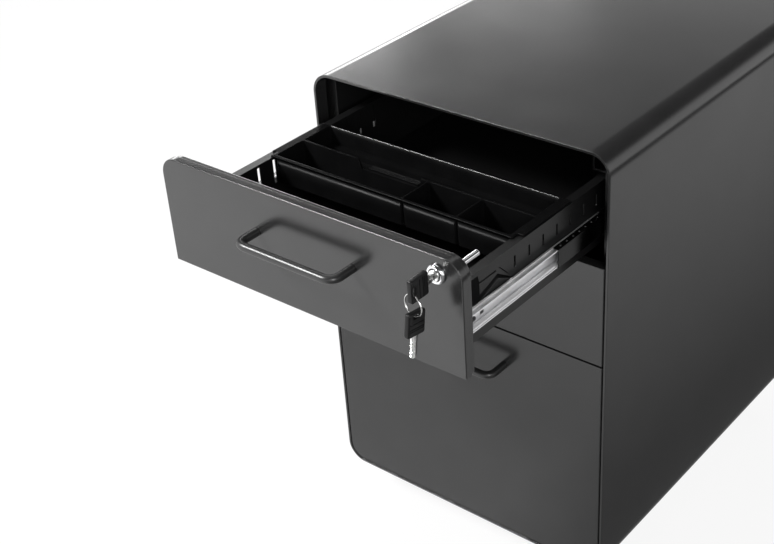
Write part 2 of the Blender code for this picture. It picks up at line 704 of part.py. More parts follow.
def make_lock(chrome, black, nickel, body):
    axis = (LOCK_X, LOCK_Z)
    bm = bmesh.new()
    bore = PLUG_R + FIT
    turned(bm, 'Y', axis, [(-LOCK_FLANGE_T, LOCK_FLANGE_R - PAN_EDGE),
                           (-LOCK_FLANGE_T + PAN_EDGE, LOCK_FLANGE_R),
                           (-FIT, LOCK_FLANGE_R), (-FIT, LOCK_BARREL_R), (LOCK_BARREL_L, LOCK_BARREL_R),
                           (LOCK_BARREL_L, bore), (-LOCK_FLANGE_T, bore)], ROUND_STEPS, ring=True)
    solid("lock_body", bm, chrome, body, smooth=35)

    pivot = empty("lock_pivot", body, (LOCK_X, 0.0, LOCK_Z))
    face = -LOCK_FLANGE_T - PLUG_PROUD
    bm = turned(bmesh.new(), 'Y', (0.0, 0.0), [(face, PLUG_R - PLUG_PROUD), (face + PLUG_PROUD, PLUG_R),
                                              (LOCK_BARREL_L, PLUG_R)])
    plug = solid("lock_plug", bm, nickel, pivot, smooth=35)
    way = box(bmesh.new(), -KEYWAY_W / 2, KEYWAY_W / 2, face - OVERRUN, face + KEY_INSERTED + FIT * 2,
              -KEYWAY_H / 2, KEYWAY_H / 2)
    combine(plug, tool("keyway", way, pivot))
    # A crank on the plug's end carries the rod, which swings round the plug's axis to lift the lock bar.
    start = LOCK_BARREL_L + FIT
    outline = rounded(-CRANK_R, CRANK_R, -BAR_THROW - CRANK_R, CRANK_R, (CRANK_R,) * 4, BEND_STEPS)
    rod = solid("lock_rod", prism(bmesh.new(), 'Y', outline, start, start + CRANK_T), chrome, pivot)
    root = start + CRANK_T / 2
    bm = turned(bmesh.new(), 'Y', (0.0, -BAR_THROW), [(root, ROD_R), (start + ROD_L - ROD_START / 2, ROD_R),
                                                     (start + ROD_L, ROD_R - ROD_START / 2)])
    combine(rod, tool("rod_bar", bm, pivot), 'UNION')

    # The key stands in the plug with its blade and bow upright.
    make_key("key", black, nickel, pivot, (0.0, -EYE_OUT, 0.0))
    return pivot, (-EYE_OUT, EYE_R - EYE_H / 2)


def make_key(name, black, nickel, parent, place):
    """A moulded bow with a slotted eye and a pocket, and the blade that is set in the pocket."""
    bow = rounded(-EYE_IN, BOW_L - EYE_IN, -BOW_H / 2, BOW_H / 2, (BOW_R,) * 4, BEND_STEPS)
    key = solid(name, prism(bmesh.new(), 'X', bow, -BOW_T / 2, BOW_T / 2), black, parent, place)
    half = EYE_H / 2
    eye = rounded(-EYE_R, EYE_R, -half, half, (EYE_R,) * 4, BEND_STEPS)
    cuts = prism(bmesh.new(), 'X', eye, -BOW_T, BOW_T)
    pocket = KEY_BLADE_H / 2 + FIT
    shoulder = BOW_L - EYE_IN
    start = shoulder - HEEL_IN
    box(cuts, -KEY_T / 2 - FIT, KEY_T / 2 + FIT, start - FIT, shoulder + HEEL_IN, -pocket, pocket)
    combine(key, tool(name + "_cuts", cuts, parent, place))
    wide = KEY_BLADE_H / 2
    point = wide * BLADE_POINT_SHARE
    end = shoulder + KEY_BLADE_L
    blade = [(start, -wide), (end - point, -wide), (end, -wide + point), (end, wide - point),
             (end - point, wide), (start, wide)]
    solid(name + "_blade", prism(bmesh.new(), 'X', blade, -KEY_T / 2, KEY_T / 2), nickel, parent, place)


def make_ring_and_spare(black, nickel, pivot, eye):
    """A ring through the key's eye, square to the bow, and the spare key that hangs from it."""
    hang = empty("ring_pivot", pivot, (0.0, eye[0], eye[1]))
    centre = -RING_R - EYE_R + RING_WIRE + RING_SLACK
    loops = []
    for i in range(RING_STEPS):
        turn = 2 * math.pi * i / RING_STEPS
        loop = []
        for j in range(WIRE_STEPS):
            bend = 2 * math.pi * j / WIRE_STEPS
            reach = RING_R + RING_WIRE * math.cos(bend)
            loop.append((reach * math.sin(turn), RING_WIRE * math.sin(bend), centre + reach * math.cos(turn)))
        loops.append(loop)
    solid("key_ring", skin(bmesh.new(), loops, ring=True), nickel, hang, smooth=60)

    seat = centre - RING_R + RING_WIRE + RING_SLACK - EYE_R
    spare = empty("spare_pivot", hang, (0.0, 0.0, seat))
    spare.rotation_euler = (-math.pi / 2 - SPARE_TILT, 0.0, 0.0)
    make_key("spare_key", black, nickel, spare, (0.0, 0.0, 0.0))


def caster_places():
    x = HALF_W - CASTER_IN_X
    return (("front_left", -x, CASTER_IN_FRONT), ("front_right", x, CASTER_IN_FRONT),
            ("rear_left", -x, CASE_D - CASTER_IN_REAR), ("rear_right", x, CASE_D - CASTER_IN_REAR))


def make_casters(root, black):
    """Twin-wheel stem casters. A facet of each wheel lies flat on the floor."""
    top = CASE_BASE - FIT
    disc_low = top - YOKE_DISC_T
    stem_top = CASE_BASE + SHEET + CHANNEL_H
    for name, x, y in caster_places():
        swivel = empty("swivel_" + name, root, (x, y, 0.0))
        yoke = turned(bmesh.new(), 'Z', (0.0, 0.0),
                      [(disc_low, YOKE_DISC_R), (top - SHEET, YOKE_DISC_R), (top, YOKE_DISC_R - SHEET),
                       (top, STEM_R), (stem_top, STEM_R)])
        yoke = solid("caster_yoke_" + name, yoke, black, swivel, smooth=35)
        span = disc_low - WHEEL_R
        outline = [(u * TRAIL, WHEEL_R + v * span + (YOKE_DISC_T / 2 if v == 1.0 else 0.0))
                   for u, v in YOKE_SHARES]
        web = prism(bmesh.new(), 'X', outline, -YOKE_W / 2, YOKE_W / 2)
        combine(yoke, tool("yoke_web_" + name, web, swivel), 'UNION')
        hole = round_bar(bmesh.new(), 'X', (TRAIL, WHEEL_R), AXLE_R + AXLE_CLEAR, -YOKE_W, YOKE_W,
                         CORNER_STEPS * 2)
        combine(yoke, tool("yoke_hole_" + name, hole, swivel))
        axle = empty("axle_" + name, swivel, (0.0, TRAIL, WHEEL_R))
        a = YOKE_W / 2 + YOKE_SIDE
        b = a + WHEEL_W
        c = TREAD_R * BEVEL_SHARE
        rim = WHEEL_R / math.cos(math.pi / WHEEL_STEPS)
        side = [(a, AXLE_R), (a, rim - TREAD_R), (a + c, rim - c), (a + TREAD_R, rim),
                (b - TREAD_R, rim), (b - c, rim - c), (b, rim - TREAD_R), (b, HUB_R),
                (b + HUB_PROUD, HUB_R - HUB_PROUD), (b + HUB_PROUD, AXLE_R)]
        profile = [(-u, r) for u, r in side[::-1]] + side
        wheels = turned(bmesh.new(), 'X', (0.0, 0.0), profile, WHEEL_STEPS)
        solid("caster_wheels_" + name, wheels, black, axle, smooth=35)


def make_catch(prefix, z, zinc, body):
    """An angle on the drawer's right side that the lock bar's hook stops behind."""
    near = BAR_SET + BAR_W + BAR_CLEAR
    face = BOX_HALF + FIT
    bm = bmesh.new()
    path = [(face, near + CATCH_L), (face, near), (face + CATCH_OUT, near)]
    prism(bm, 'Z', folded(path, SLIDE_SHEET), z, z + CATCH_H)
    solid(prefix + "_catch", bm, zinc, body)


def make_file_rails(zinc, body, rim):
    """Two flat rails that hanging folders slide on, standing on feet at the front and back walls."""
    near = FRONT_T + FIT + BOX_SHEET + FIT
    far = FRONT_T + FIT + BOX_D - BOX_SHEET - FIT
    top = rim - BOX_SHEET - FIT
    for name, side in (("left", -1), ("right", 1)):
        x = side * (BOX_HALF - RAIL_IN)
        path = [(x + RAIL_FOOT, near), (x, near), (x, far), (x + RAIL_FOOT, far)]
        if side < 0:
            path = [(x - RAIL_FOOT, near), (x, near), (x, far), (x - RAIL_FOOT, far)]
        outline = folded(path, -side * RAIL_T)
        bm = prism(bmesh.new(), 'Z', outline, top - RAIL_H, top)
        solid("file_rail_" + name, bm, zinc, body)


def main():
    clear_scene()
    paint("cutter", (0.8, 0.1, 0.1), 0.5)
    steel = paint("painted_steel", (0.028, 0.028, 0.030), 0.42)
    inside = paint("painted_inside", (0.016, 0.016, 0.017), 0.50)
    zinc = paint("zinc", (0.62, 0.63, 0.65), 0.32, 1.0)
    chrome = paint("chrome", (0.75, 0.76, 0.78), 0.12, 1.0)
    nickel = paint("nickel", (0.70, 0.69, 0.66), 0.22, 1.0)
    plastic = paint("tray_plastic", (0.018, 0.018, 0.019), 0.38)
    black = paint("black_plastic", (0.015, 0.015, 0.016), 0.45)

    root = empty("pedestal", None, (0.0, -CENTRE_Y, 0.0))
    make_case(root, steel, zinc)
    make_lock_bar(root, zinc)
    make_casters(root, black)

    square = (SQUARE_R, SQUARE_R)
    curved = (FRONT_R, FRONT_R)
    drawers = (
        ("top", SPLIT_TOP, TOP_FRONT_HIGH, square + curved, TOP_OPEN, BOX_RIM_DROP),
        ("middle", SPLIT_LOW, SPLIT_TOP - FRONT_GAP, square + square, 0.0, BOX_RIM_DROP),
        ("bottom", CASE_BASE + RIM_IN, SPLIT_LOW - FRONT_GAP, curved + square, 0.0, FILE_RIM_DROP),
    )
    for prefix, low, high, radii, open_by, rim_drop in drawers:
        full = prefix == "bottom"
        body = empty(prefix + "_drawer", root, (0.0, -open_by, 0.0))
        make_front(prefix, low, high, radii, steel, body, locked=prefix == "top")
        rim = high - rim_drop
        slide_z = high - (FILE_SLIDE_DROP if full else rim_drop + SLIDE_DROP)
        make_box(prefix, low + BOX_FLOOR_RISE, rim, slide_z, inside, body, not full)
        make_slides(prefix, slide_z, open_by, full, zinc, root, body)
        if prefix == "top":
            make_tray(plastic, body, rim)
            pivot, eye = make_lock(chrome, black, nickel, body)
            make_ring_and_spare(black, nickel, pivot, eye)
        if prefix != "top":
            make_catch(prefix, rim - BAR_HOOK_DROP + BAR_HOOK_H + BAR_CLEAR, zinc, body)
        if full:
            make_file_rails(zinc, body, rim)


main()
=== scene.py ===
from contextlib import contextmanager
import json
import math

import bmesh
import bpy
import numpy as np
from mathutils import Matrix, Vector

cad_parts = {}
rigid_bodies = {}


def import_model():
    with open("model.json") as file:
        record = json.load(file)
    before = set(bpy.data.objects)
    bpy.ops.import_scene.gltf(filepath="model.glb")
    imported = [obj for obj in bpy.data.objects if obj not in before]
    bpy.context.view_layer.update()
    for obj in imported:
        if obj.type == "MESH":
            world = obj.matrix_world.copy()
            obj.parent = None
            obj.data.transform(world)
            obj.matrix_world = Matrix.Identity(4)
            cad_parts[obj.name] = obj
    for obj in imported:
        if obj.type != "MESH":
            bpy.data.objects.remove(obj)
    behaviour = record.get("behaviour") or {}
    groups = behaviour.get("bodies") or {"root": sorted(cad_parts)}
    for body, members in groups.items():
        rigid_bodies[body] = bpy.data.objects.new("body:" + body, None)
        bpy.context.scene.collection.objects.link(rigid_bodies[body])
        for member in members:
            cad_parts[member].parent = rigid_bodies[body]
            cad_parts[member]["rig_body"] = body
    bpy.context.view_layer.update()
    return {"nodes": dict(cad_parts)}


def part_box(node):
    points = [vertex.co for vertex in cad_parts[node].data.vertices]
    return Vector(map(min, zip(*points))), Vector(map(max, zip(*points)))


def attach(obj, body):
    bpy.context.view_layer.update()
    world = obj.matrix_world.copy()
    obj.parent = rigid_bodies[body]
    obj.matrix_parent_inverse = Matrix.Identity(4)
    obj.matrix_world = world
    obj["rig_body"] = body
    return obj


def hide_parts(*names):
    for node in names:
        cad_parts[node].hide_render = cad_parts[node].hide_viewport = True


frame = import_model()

bl_info = {
    "name": "Rolling pedestal",
    "version": (1, 0, 0),
    "blender": (4, 5, 0),
    "location": "3D View > Sidebar > Pedestal",
    "description": "Finishes a three-drawer steel pedestal on its packed frame",
    "category": "Object",
}

MM = 0.001
SIDES = ("left", "right")
DRAWERS = ("top", "middle", "bottom")
CORNERS = ("front_left", "front_right", "rear_left", "rear_right")


# Reading the frame

def span(node):
    """Lowest and highest corner of a node, as arrays."""
    low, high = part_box(node)
    return np.array(low), np.array(high)


def middle(node):
    low, high = span(node)
    return (low + high) / 2


# Curves in a plane

def rise(t):
    """From 0 to 1 with level ends: 3t^2 - 2t^3."""
    t = np.clip(t, 0, 1)
    return t * t * (3 - 2 * t)


def polar(t):
    """Points of the unit circle at angles."""
    return np.column_stack([np.cos(t), np.sin(t)])


def unit(vectors):
    return vectors / np.linalg.norm(vectors, axis=-1, keepdims=True)


def soften(points, radius, steps=4, closed=False, guard=0.0004):
    """Round the corners of a polyline.

    Each corner P becomes the curve (1-s)^2 A + 2s(1-s) P + s^2 B, whose ends A and B lie on the two runs
    at the distance where a circle of the radius would touch them. A guard point stands beyond each end,
    so that a long flat run shades flat.
    """
    pts = np.asarray(points, float)
    count = len(pts)
    radii = np.broadcast_to(radius, (count,))
    out = []
    for i in range(count):
        here = pts[i]
        if radii[i] <= 0 or (not closed and i in (0, count - 1)):
            out.append(here[None])
            continue
        back, ahead = pts[i - 1] - here, pts[(i + 1) % count] - here
        far_back, far_ahead = np.linalg.norm(back), np.linalg.norm(ahead)
        u, v = back / far_back, ahead / far_ahead
        turn = math.acos(np.clip(u @ v, -1, 1))
        reach = min(radii[i] / math.tan(turn / 2), 0.45 * far_back, 0.45 * far_ahead)
        s = np.linspace(0, 1, steps + 1)[:, None]
        first, last = here + u * reach, here + v * reach
        curve = (1 - s) ** 2 * first + 2 * s * (1 - s) * here + s ** 2 * last
        if guard and reach + guard < 0.48 * far_back:
            curve = np.vstack([first + u * guard, curve])
        if guard and reach + guard < 0.48 * far_ahead:
            curve = np.vstack([curve, last + v * guard])
        out.append(curve)
    return np.vstack(out)


def rounded(u0, u1, v0, v1, radius, inset=0.0, steps=20, guard=0.001):
    """A rectangle set in by a distance. Its corners are quarter circles, less that distance, with guards."""
    out = []
    corners = ((u0, v0, 1, 1, 180), (u1, v0, -1, 1, 270), (u1, v1, -1, -1, 0), (u0, v1, 1, -1, 90))
    for (u, v, du, dv, start), outer in zip(corners, np.broadcast_to(radius, (4,))):
        bend = max(outer - inset, 0.0003)
        centre = np.array([u + du * (inset + bend), v + dv * (inset + bend)])
        t = np.radians(start + np.linspace(0, 90, steps + 1))
        arc = centre + bend * polar(t)
        run = polar(t + np.pi / 2) * guard
        out += [arc[:1] - run[:1], arc, arc[-1:] + run[-1:]]
    return np.vstack(out)


def offset(points, distance):
    """A closed polygon moved outwards by a distance along the mean of its two edge normals at each point."""
    pts = np.asarray(points, float)
    edge = unit(np.roll(pts, -1, axis=0) - pts)
    normal = np.column_stack([edge[:, 1], -edge[:, 0]])
    mean = normal + np.roll(normal, 1, axis=0)
    scale = np.maximum((mean ** 2).sum(axis=1), 0.6)
    return pts + mean * (2 * distance / scale)[:, None]


def by_angle(points, angles):
    """Where rays from the origin at the given angles cross a closed polygon that surrounds the origin."""
    def cross(a, b):
        return a[..., 0] * b[..., 1] - a[..., 1] * b[..., 0]
    start = np.asarray(points, float)
    edge = np.roll(start, -1, axis=0) - start
    ray = polar(angles)[:, None]
    both = cross(ray, edge)
    both = np.where(abs(both) < 1e-12, 1e-12, both)
    along, where = cross(start, edge) / both, cross(start, ray) / both
    good = (along > 0) & (where >= -1e-6) & (where <= 1 + 1e-6)
    return ray[:, 0] * np.where(good, along, np.inf).min(axis=1)[:, None]


def strip(path, thickness):
    """The closed outline of a bent strip: its centre line moved half its thickness to each side."""
    run = unit(np.gradient(path, axis=0))
    side = np.column_stack([-run[:, 1], run[:, 0]]) * thickness / 2
    return np.vstack([path + side, (path - side)[::-1]])


# Surfaces

def grid(points, around=True, along=False, caps=True):
    """One surface: rows of points, joined around each row and along the rows, with its end rows closed."""
    return {"points": np.asarray(points, float), "around": around, "along": along,
            "caps": caps and not along}


def placed(name, data):
    """A new object in the scene."""
    obj = bpy.data.objects.new(name, data)
    bpy.context.scene.collection.objects.link(obj)
    return obj


def smooth(mesh, sharp):
    mesh.shade_smooth()
    mesh.set_sharp_from_angle(angle=math.radians(sharp))


@contextmanager
def edited(mesh, source=None):
    """A bmesh of a mesh, or of its source, that is written to the mesh in the end."""
    bm = bmesh.new()
    bm.from_mesh(source or mesh)
    yield bm
    bm.to_mesh(mesh)
    bm.free()


def shaped(name, grids, sharp=40):
    """One object of one or more surfaces."""
    verts, faces, start = [], [], 0
    for part in grids:
        points = part["points"]
        rows, cols = points.shape[:2]
        index = np.arange(rows * cols).reshape(rows, cols) + start
        if part["caps"]:
            faces += [index[0][::-1].tolist(), index[-1].tolist()]
        wide = np.vstack([index, index[:1]]) if part["along"] else index
        wide = np.hstack([wide, wide[:, :1]]) if part["around"] else wide
        quads = np.stack([wide[:-1, :-1], wide[:-1, 1:], wide[1:, 1:], wide[1:, :-1]], axis=-1)
        faces += quads.reshape(-1, 4).tolist()
        verts.append(points.reshape(-1, 3))
        start += rows * cols
    mesh = bpy.data.meshes.new(name)
    mesh.from_pydata(np.vstack(verts).tolist(), [], faces)
    with edited(mesh) as bm:
        bmesh.ops.remove_doubles(bm, verts=bm.verts[:], dist=1e-6)
        bmesh.ops.recalc_face_normals(bm, faces=bm.faces[:])
    smooth(mesh, sharp)
    return placed(name, mesh)


def settle(obj, look, body, node=None, slot=None):
    """Finish an object, ride it on a body and let it stand for a node."""
    obj.data.materials.clear()
    obj.data.materials.append(finish(look))
    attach(obj, body)
    slot or SLOTS.get(look, look)
    if node:
        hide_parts(node)
    return obj


def piece(name, grids, look, body, node=None, sharp=40):
    return settle(shaped(name, grids, sharp), look, body, node)


def carve(obj, grids, sharp=40):
    """Cut closed surfaces out of a piece and keep the result as its mesh."""
    material = obj.data.materials[0]
    cutter = shaped(obj.name + "_cutter", grids)
    cutter.data.materials.append(material)
    mod = obj.modifiers.new("cut", 'BOOLEAN')
    mod.operation = 'DIFFERENCE'
    mod.object = cutter
    bpy.context.view_layer.update()
    result = bpy.data.meshes.new_from_object(obj.evaluated_get(bpy.context.evaluated_depsgraph_get()))
    obj.modifiers.remove(mod)
    obj.data = result
    obj.data.materials.clear()
    obj.data.materials.append(material)
    smooth(obj.data, sharp)
    bpy.data.objects.remove(cutter)


def pressed(node, look, width=0.0003, steps=2, cuts=(), slot=None):
    """A copy of a bent-sheet node, cut where asked, with merged faces and rolled edges."""
    source = frame["nodes"][node]
    mesh = bpy.data.meshes.new(node + "_finished")
    with edited(mesh, source.data) as bm:
        bmesh.ops.remove_doubles(bm, verts=bm.verts[:], dist=2e-6)
        bmesh.ops.dissolve_limit(bm, angle_limit=math.radians(1.0), verts=bm.verts[:], edges=bm.edges[:])
    obj = settle(placed(node + "_finished", mesh), look, source["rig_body"], node, slot)
    if cuts:
        carve(obj, cuts)
    mod = obj.modifiers.new("rolled edges", 'BEVEL')
    mod.width = width
    mod.segments = steps
    mod.limit_method = 'ANGLE'
    mod.angle_limit = math.radians(35)
    mod.harden_normals = True
    obj.data.shade_smooth()


def lofted(axis, stations):
    """Rows of a plane's points at places along an axis. Each station is (place, points)."""
    order = {'X': (2, 0, 1), 'Y': (0, 2, 1), 'Z': (0, 1, 2)}[axis]
    rows = [np.column_stack([pts, np.full(len(pts), place)])[:, order] for place, pts in stations]
    return np.array(rows)


def drawn(axis, ends, section):
    """A section drawn along an axis from one place to another."""
    return grid(lofted(axis, [(place, section) for place in ends]))


def turned(axis, centre, profile, steps=48):
    """Turn (along, radius) points about an axis: place = centre + radius (cos t, sin t) across it."""
    circle = polar(np.linspace(0, 2 * np.pi, steps, endpoint=False))
    return lofted(axis, [(a, np.asarray(centre) + max(r, 1e-9) * circle) for a, r in profile])


def rod(axis, centre, ends, radius, steps):
    """A plain round rod, for cutting a hole."""
    return grid(turned(axis, centre, [(place, radius) for place in ends], steps))


def screw(axis, centre, face, side, shape):
    """A screw's head on a face, turned from its shape, which is (height, radius) in millimetres."""
    profile = [(face + side * height * MM, radius * MM) for height, radius in shape]
    return grid(turned(axis, centre, profile, 20), caps=False)


def tube(path, radius, steps=24, up=(0, 0, 1)):
    """A round bar on a path: each row is P + r (cos t N + sin t B), N and B square to the path's run."""
    path = np.asarray(path, float)
    run = unit(np.gradient(path, axis=0))
    side = unit(np.cross(np.broadcast_to(up, path.shape), run))
    top = np.cross(run, side)
    t = np.linspace(0, 2 * np.pi, steps, endpoint=False)[None, :, None]
    return path[:, None] + radius * (np.cos(t) * side[:, None] + np.sin(t) * top[:, None])


def block(x, y, z, edge=0.0003):
    """A small rounded block between pairs of limits."""
    plan = [rounded(*x, *y, edge * 3, inset, 3, 0.0) for inset in (edge, 0, 0, edge)]
    return grid(lofted('Z', list(zip((z[0], z[0] + edge, z[1] - edge, z[1]), plan))))


# Finishes

def shader(name, colour, roughness, metallic=0.0):
    mat = bpy.data.materials.new(name)
    mat.use_nodes = True
    bsdf = mat.node_tree.nodes["Principled BSDF"]
    bsdf.inputs["Base Color"].default_value = (*colour, 1.0)
    bsdf.inputs["Roughness"].default_value = roughness
    bsdf.inputs["Metallic"].default_value = metallic
    return mat.node_tree, bsdf


def add(tree, kind, **values):
    """A new node, with values for its inputs by name or for its own settings."""
    node = tree.nodes.new(kind)
    for key, value in values.items():
        if key in node.inputs:
            node.inputs[key].default_value = value
        else:
            setattr(node, key, value)
    return node


def noise(tree, scale, detail=3.0, stretch=(1, 1, 1)):
    """Noise on object coordinates, stretched along an axis where the finish has a grain."""
    where = add(tree, 'ShaderNodeTexCoord')
    mapping = add(tree, 'ShaderNodeMapping', Scale=stretch)
    field = add(tree, 'ShaderNodeTexNoise', Scale=scale, Detail=detail)
    tree.links.new(where.outputs["Object"], mapping.inputs["Vector"])
    tree.links.new(mapping.outputs["Vector"], field.inputs["Vector"])
    return field.outputs["Fac"]


def axes(tree, kind="Object"):
    """The X, Y and Z of a place, by name."""
    split = add(tree, 'ShaderNodeSeparateXYZ')
    tree.links.new(add(tree, 'ShaderNodeTexCoord').outputs[kind], split.inputs[0])
    return split.outputs


def spread(tree, value, low, high, start=0.3, end=0.7):
    """Map a field from start..end to low..high."""
    limits = {"From Min": start, "From Max": end, "To Min": low, "To Max": high}
    node = add(tree, 'ShaderNodeMapRange', **limits)
    tree.links.new(value, node.inputs["Value"])
    return node.outputs["Result"]


def worked(tree, operation, *values):
    """Two fields, or a field and a number, put together by a Math node."""
    node = add(tree, 'ShaderNodeMath', operation=operation)
    for socket, value in zip(node.inputs, values):
        if isinstance(value, float):
            socket.default_value = value
        else:
            tree.links.new(value, socket)
    return node.outputs[0]


def blended(tree, amount, under, over):
    """One shader over another by an amount."""
    mix = add(tree, 'ShaderNodeMixShader')
    for socket, value in zip(mix.inputs, (amount, under, over)):
        tree.links.new(value, socket)
    return mix.outputs[0]


def clouded(tree, bsdf, value, low, high):
    """Roughness between two values, by a field."""
    tree.links.new(spread(tree, value, low, high), bsdf.inputs["Roughness"])


def relief(tree, bsdf, value, depth, strength):
    bump = add(tree, 'ShaderNodeBump', Distance=depth, Strength=strength)
    tree.links.new(value, bump.inputs["Height"])
    tree.links.new(bump.outputs["Normal"], bsdf.inputs["Normal"])


def tinted(tree, bsdf, value, colour, low, high=1.0):
    """The colour times low to high, by a field."""
    mix = add(tree, 'ShaderNodeMix', data_type='RGBA')
    sockets = [s for s in mix.inputs if s.type == 'RGBA']
    for socket, factor in zip(sockets, (low, high)):
        socket.default_value = (*(c * factor for c in colour), 1.0)
    tree.links.new(value, mix.inputs[0])
    tree.links.new([s for s in mix.outputs if s.type == 'RGBA'][0], bsdf.inputs["Base Color"])


def powder_coat(name, colour, roughness, smudge=1.0, gloss=0.5):
    """Satin powder coat: fine orange peel, cloudy gloss and faint handling marks."""
    tree, bsdf = shader(name, colour, roughness)
    bsdf.inputs["Specular IOR Level"].default_value = gloss
    clouded(tree, bsdf, noise(tree, 9.0, 4.0), roughness - 0.02 * smudge, roughness + 0.03 * smudge)
    marks = spread(tree, noise(tree, 26.0, 5.0), 0.0, 1.0, 0.35, 0.75)
    tinted(tree, bsdf, marks, colour, 0.94, 1 + 0.16 * smudge)
    relief(tree, bsdf, noise(tree, 1400.0, 2.0), 0.00004, 0.22)


def plated(name, colour, roughness, grain=(1, 1, 1), metallic=1.0):
    """Plated steel: drawn grain along one axis, slightly cloudy, with fine scratches in its gloss."""
    tree, bsdf = shader(name, colour, roughness, metallic)
    clouded(tree, bsdf, noise(tree, 60.0, 4.0, grain), roughness - 0.03, roughness + 0.06)
    tinted(tree, bsdf, spread(tree, noise(tree, 34.0), 0.0, 1.0), colour, 0.86)
    relief(tree, bsdf, noise(tree, 700.0, 3.0, grain), 0.00001, 0.25)


def moulded(name, colour, roughness, lip=None):
    """Moulded plastic: spark-eroded texture with an uneven sheen, and a painted highlight: it reflects fully
    behind a lip's place in Y and hardly in front of it.
    """
    tree, bsdf = shader(name, colour, roughness)
    bsdf.inputs["Specular IOR Level"].default_value = 0.2
    if lip:
        # Painted highlight: the rear lip reflects in full, the rest of the tray hardly at all.
        painted_lip_sheen = spread(tree, axes(tree)["Y"], 0.02, 1.0, lip - 0.004, lip - 0.0032)
        tree.links.new(painted_lip_sheen, bsdf.inputs["Specular IOR Level"])
    clouded(tree, bsdf, noise(tree, 18.0), roughness - 0.04, roughness + 0.06)
    tinted(tree, bsdf, spread(tree, noise(tree, 40.0), 0.0, 1.0), colour, 0.85, 1.2)
    relief(tree, bsdf, noise(tree, 2600.0, 2.0), 0.00003, 0.35)


# How each material is made: its function, the settings of its colour and gloss, and what else it takes.
LOOKS = {
    "painted_steel": (powder_coat, "paint", "paint_roughness", {}),
    "handle": (powder_coat, "paint", "handle_roughness", {}),
    "painted_inside": (powder_coat, "inside", "inside_roughness", {"smudge": 0.6, "gloss": 0.36}),
    # The cage look is near black: dark oiled steel, darkened further as painted shade inside the case.
    "cage": (plated, "cage", "zinc_roughness", {"grain": (1, 0.04, 1)}),
    "zinc": (plated, "zinc", "zinc_roughness", {"grain": (1, 0.04, 1), "metallic": 0.66}),
    "chrome": (plated, "chrome", "chrome_roughness", {}),
    "nickel": (plated, "nickel", "nickel_roughness", {"grain": (1, 1, 0.15)}),
    "tray_plastic": (moulded, "tray", "tray_roughness", {"lip": span("tray")[1][1]}),
    "black_plastic": (moulded, "plastic", "plastic_roughness", {}),
}
# The slots of looks that have none of their own name.
SLOTS = {"handle": "painted_steel", "cage": "zinc"}


def finish(look):
    """The material of a look, made once."""
    name = "pedestal_" + look
    if name not in bpy.data.materials:
        make, tone, gloss, more = LOOKS[look]
        settings = bpy.context.scene.pedestal_finish
        make(name, tuple(getattr(settings, tone)), getattr(settings, gloss), **more)
    return bpy.data.materials[name]


# Settings

def number(name, about, value, **more):
    return bpy.props.FloatProperty(name=name, description=about, default=value, **more)


def length(name, about, value):
    return number(name, about, value, min=0.0, unit='LENGTH', precision=4)


def angle(name, about, degrees):
    return number(name, about, math.radians(degrees), unit='ROTATION')


def share(name, about, value):
    return number(name, about, value, min=0.0, max=1.0, subtype='FACTOR')


def power(name, about, value):
    return number(name, about, value, min=0.0)


def colour(name, about, value):
    return bpy.props.FloatVectorProperty(name=name, description=about, default=value, size=3, min=0.0,
                                         max=1.0, subtype='COLOR')


class PedestalSizes(bpy.types.PropertyGroup):
    case_radius: length("Case corner", "Outer radius of the case's four long edges", 0.025)
    front_radius: length("Front corner", "Radius of the top and bottom fronts' outer corners", 0.0205)
    sheet: length("Sheet", "Thickness of the case's sheet", 0.001)
    rim: length("Rim", "Thickness of the case's folded front rim", 0.0032)
    rim_depth: length("Rim depth", "How far the front rim's fold reaches back", 0.018)
    rim_edge: length("Rim edge", "Radius of the rim's edges", 0.0006)
    pan_edge: length("Front edge", "Radius round each drawer front", 0.0012)
    handle_bar: length("Handle bar", "Radius of the handle's bar", 0.00475)
    handle_bend: length("Handle bend", "Radius of the handle's two bends, at the bar's middle", 0.0128)
    slide_sheet: length("Slide sheet", "Thickness of the slide members", 0.0012)
    race: length("Race", "Depth of the ball races", 0.0022)
    ball: length("Ball", "Radius of the slides' balls", 0.0018)
    tray_wall: length("Tray wall", "Thickness of the tray's walls", 0.0016)
    flange: length("Lock flange", "Radius of the lock's flange", 0.0105)
    wheel: length("Wheel", "Radius of the caster wheels", 0.019)
    spare_tilt: number("Spare key's tilt", "How far the spare key hangs askew", 0.155, unit='ROTATION')


class PedestalFinish(bpy.types.PropertyGroup):
    paint: colour("Paint", "Powder coat of the case and the fronts", (0.013, 0.013, 0.0131))
    paint_roughness: share("Paint roughness", "Gloss of the powder coat", 0.2)
    handle_roughness: share("Handle roughness", "Gloss of the handles", 0.34)
    inside: colour("Inside", "Powder coat of the drawer boxes", (0.005, 0.005, 0.0051))
    inside_roughness: share("Inside roughness", "Gloss of the drawer boxes", 0.36)
    zinc: colour("Zinc", "Plating of the slides and brackets", (0.84, 0.84, 0.85))
    zinc_roughness: share("Zinc roughness", "Gloss of the slides", 0.21)
    # Near black: dark oiled steel, and darker still as painted shade.
    cage: colour("Cage", "Darkened steel of the ball cages", (0.03, 0.03, 0.03))
    chrome: colour("Chrome", "Plating of the lock", (0.78, 0.78, 0.79))
    chrome_roughness: share("Chrome roughness", "Gloss of the lock", 0.06)
    nickel: colour("Nickel", "Plating of the keys and ring", (0.82, 0.82, 0.81))
    nickel_roughness: share("Nickel roughness", "Gloss of the keys and ring", 0.2)
    tray: colour("Tray", "Plastic of the organiser tray", (0.0032, 0.0032, 0.0033))
    tray_roughness: share("Tray roughness", "Gloss of the tray", 0.24)
    plastic: colour("Plastic", "Plastic of the key bows and casters", (0.005, 0.005, 0.0052))
    plastic_roughness: share("Plastic roughness", "Gloss of the key bows and casters", 0.36)


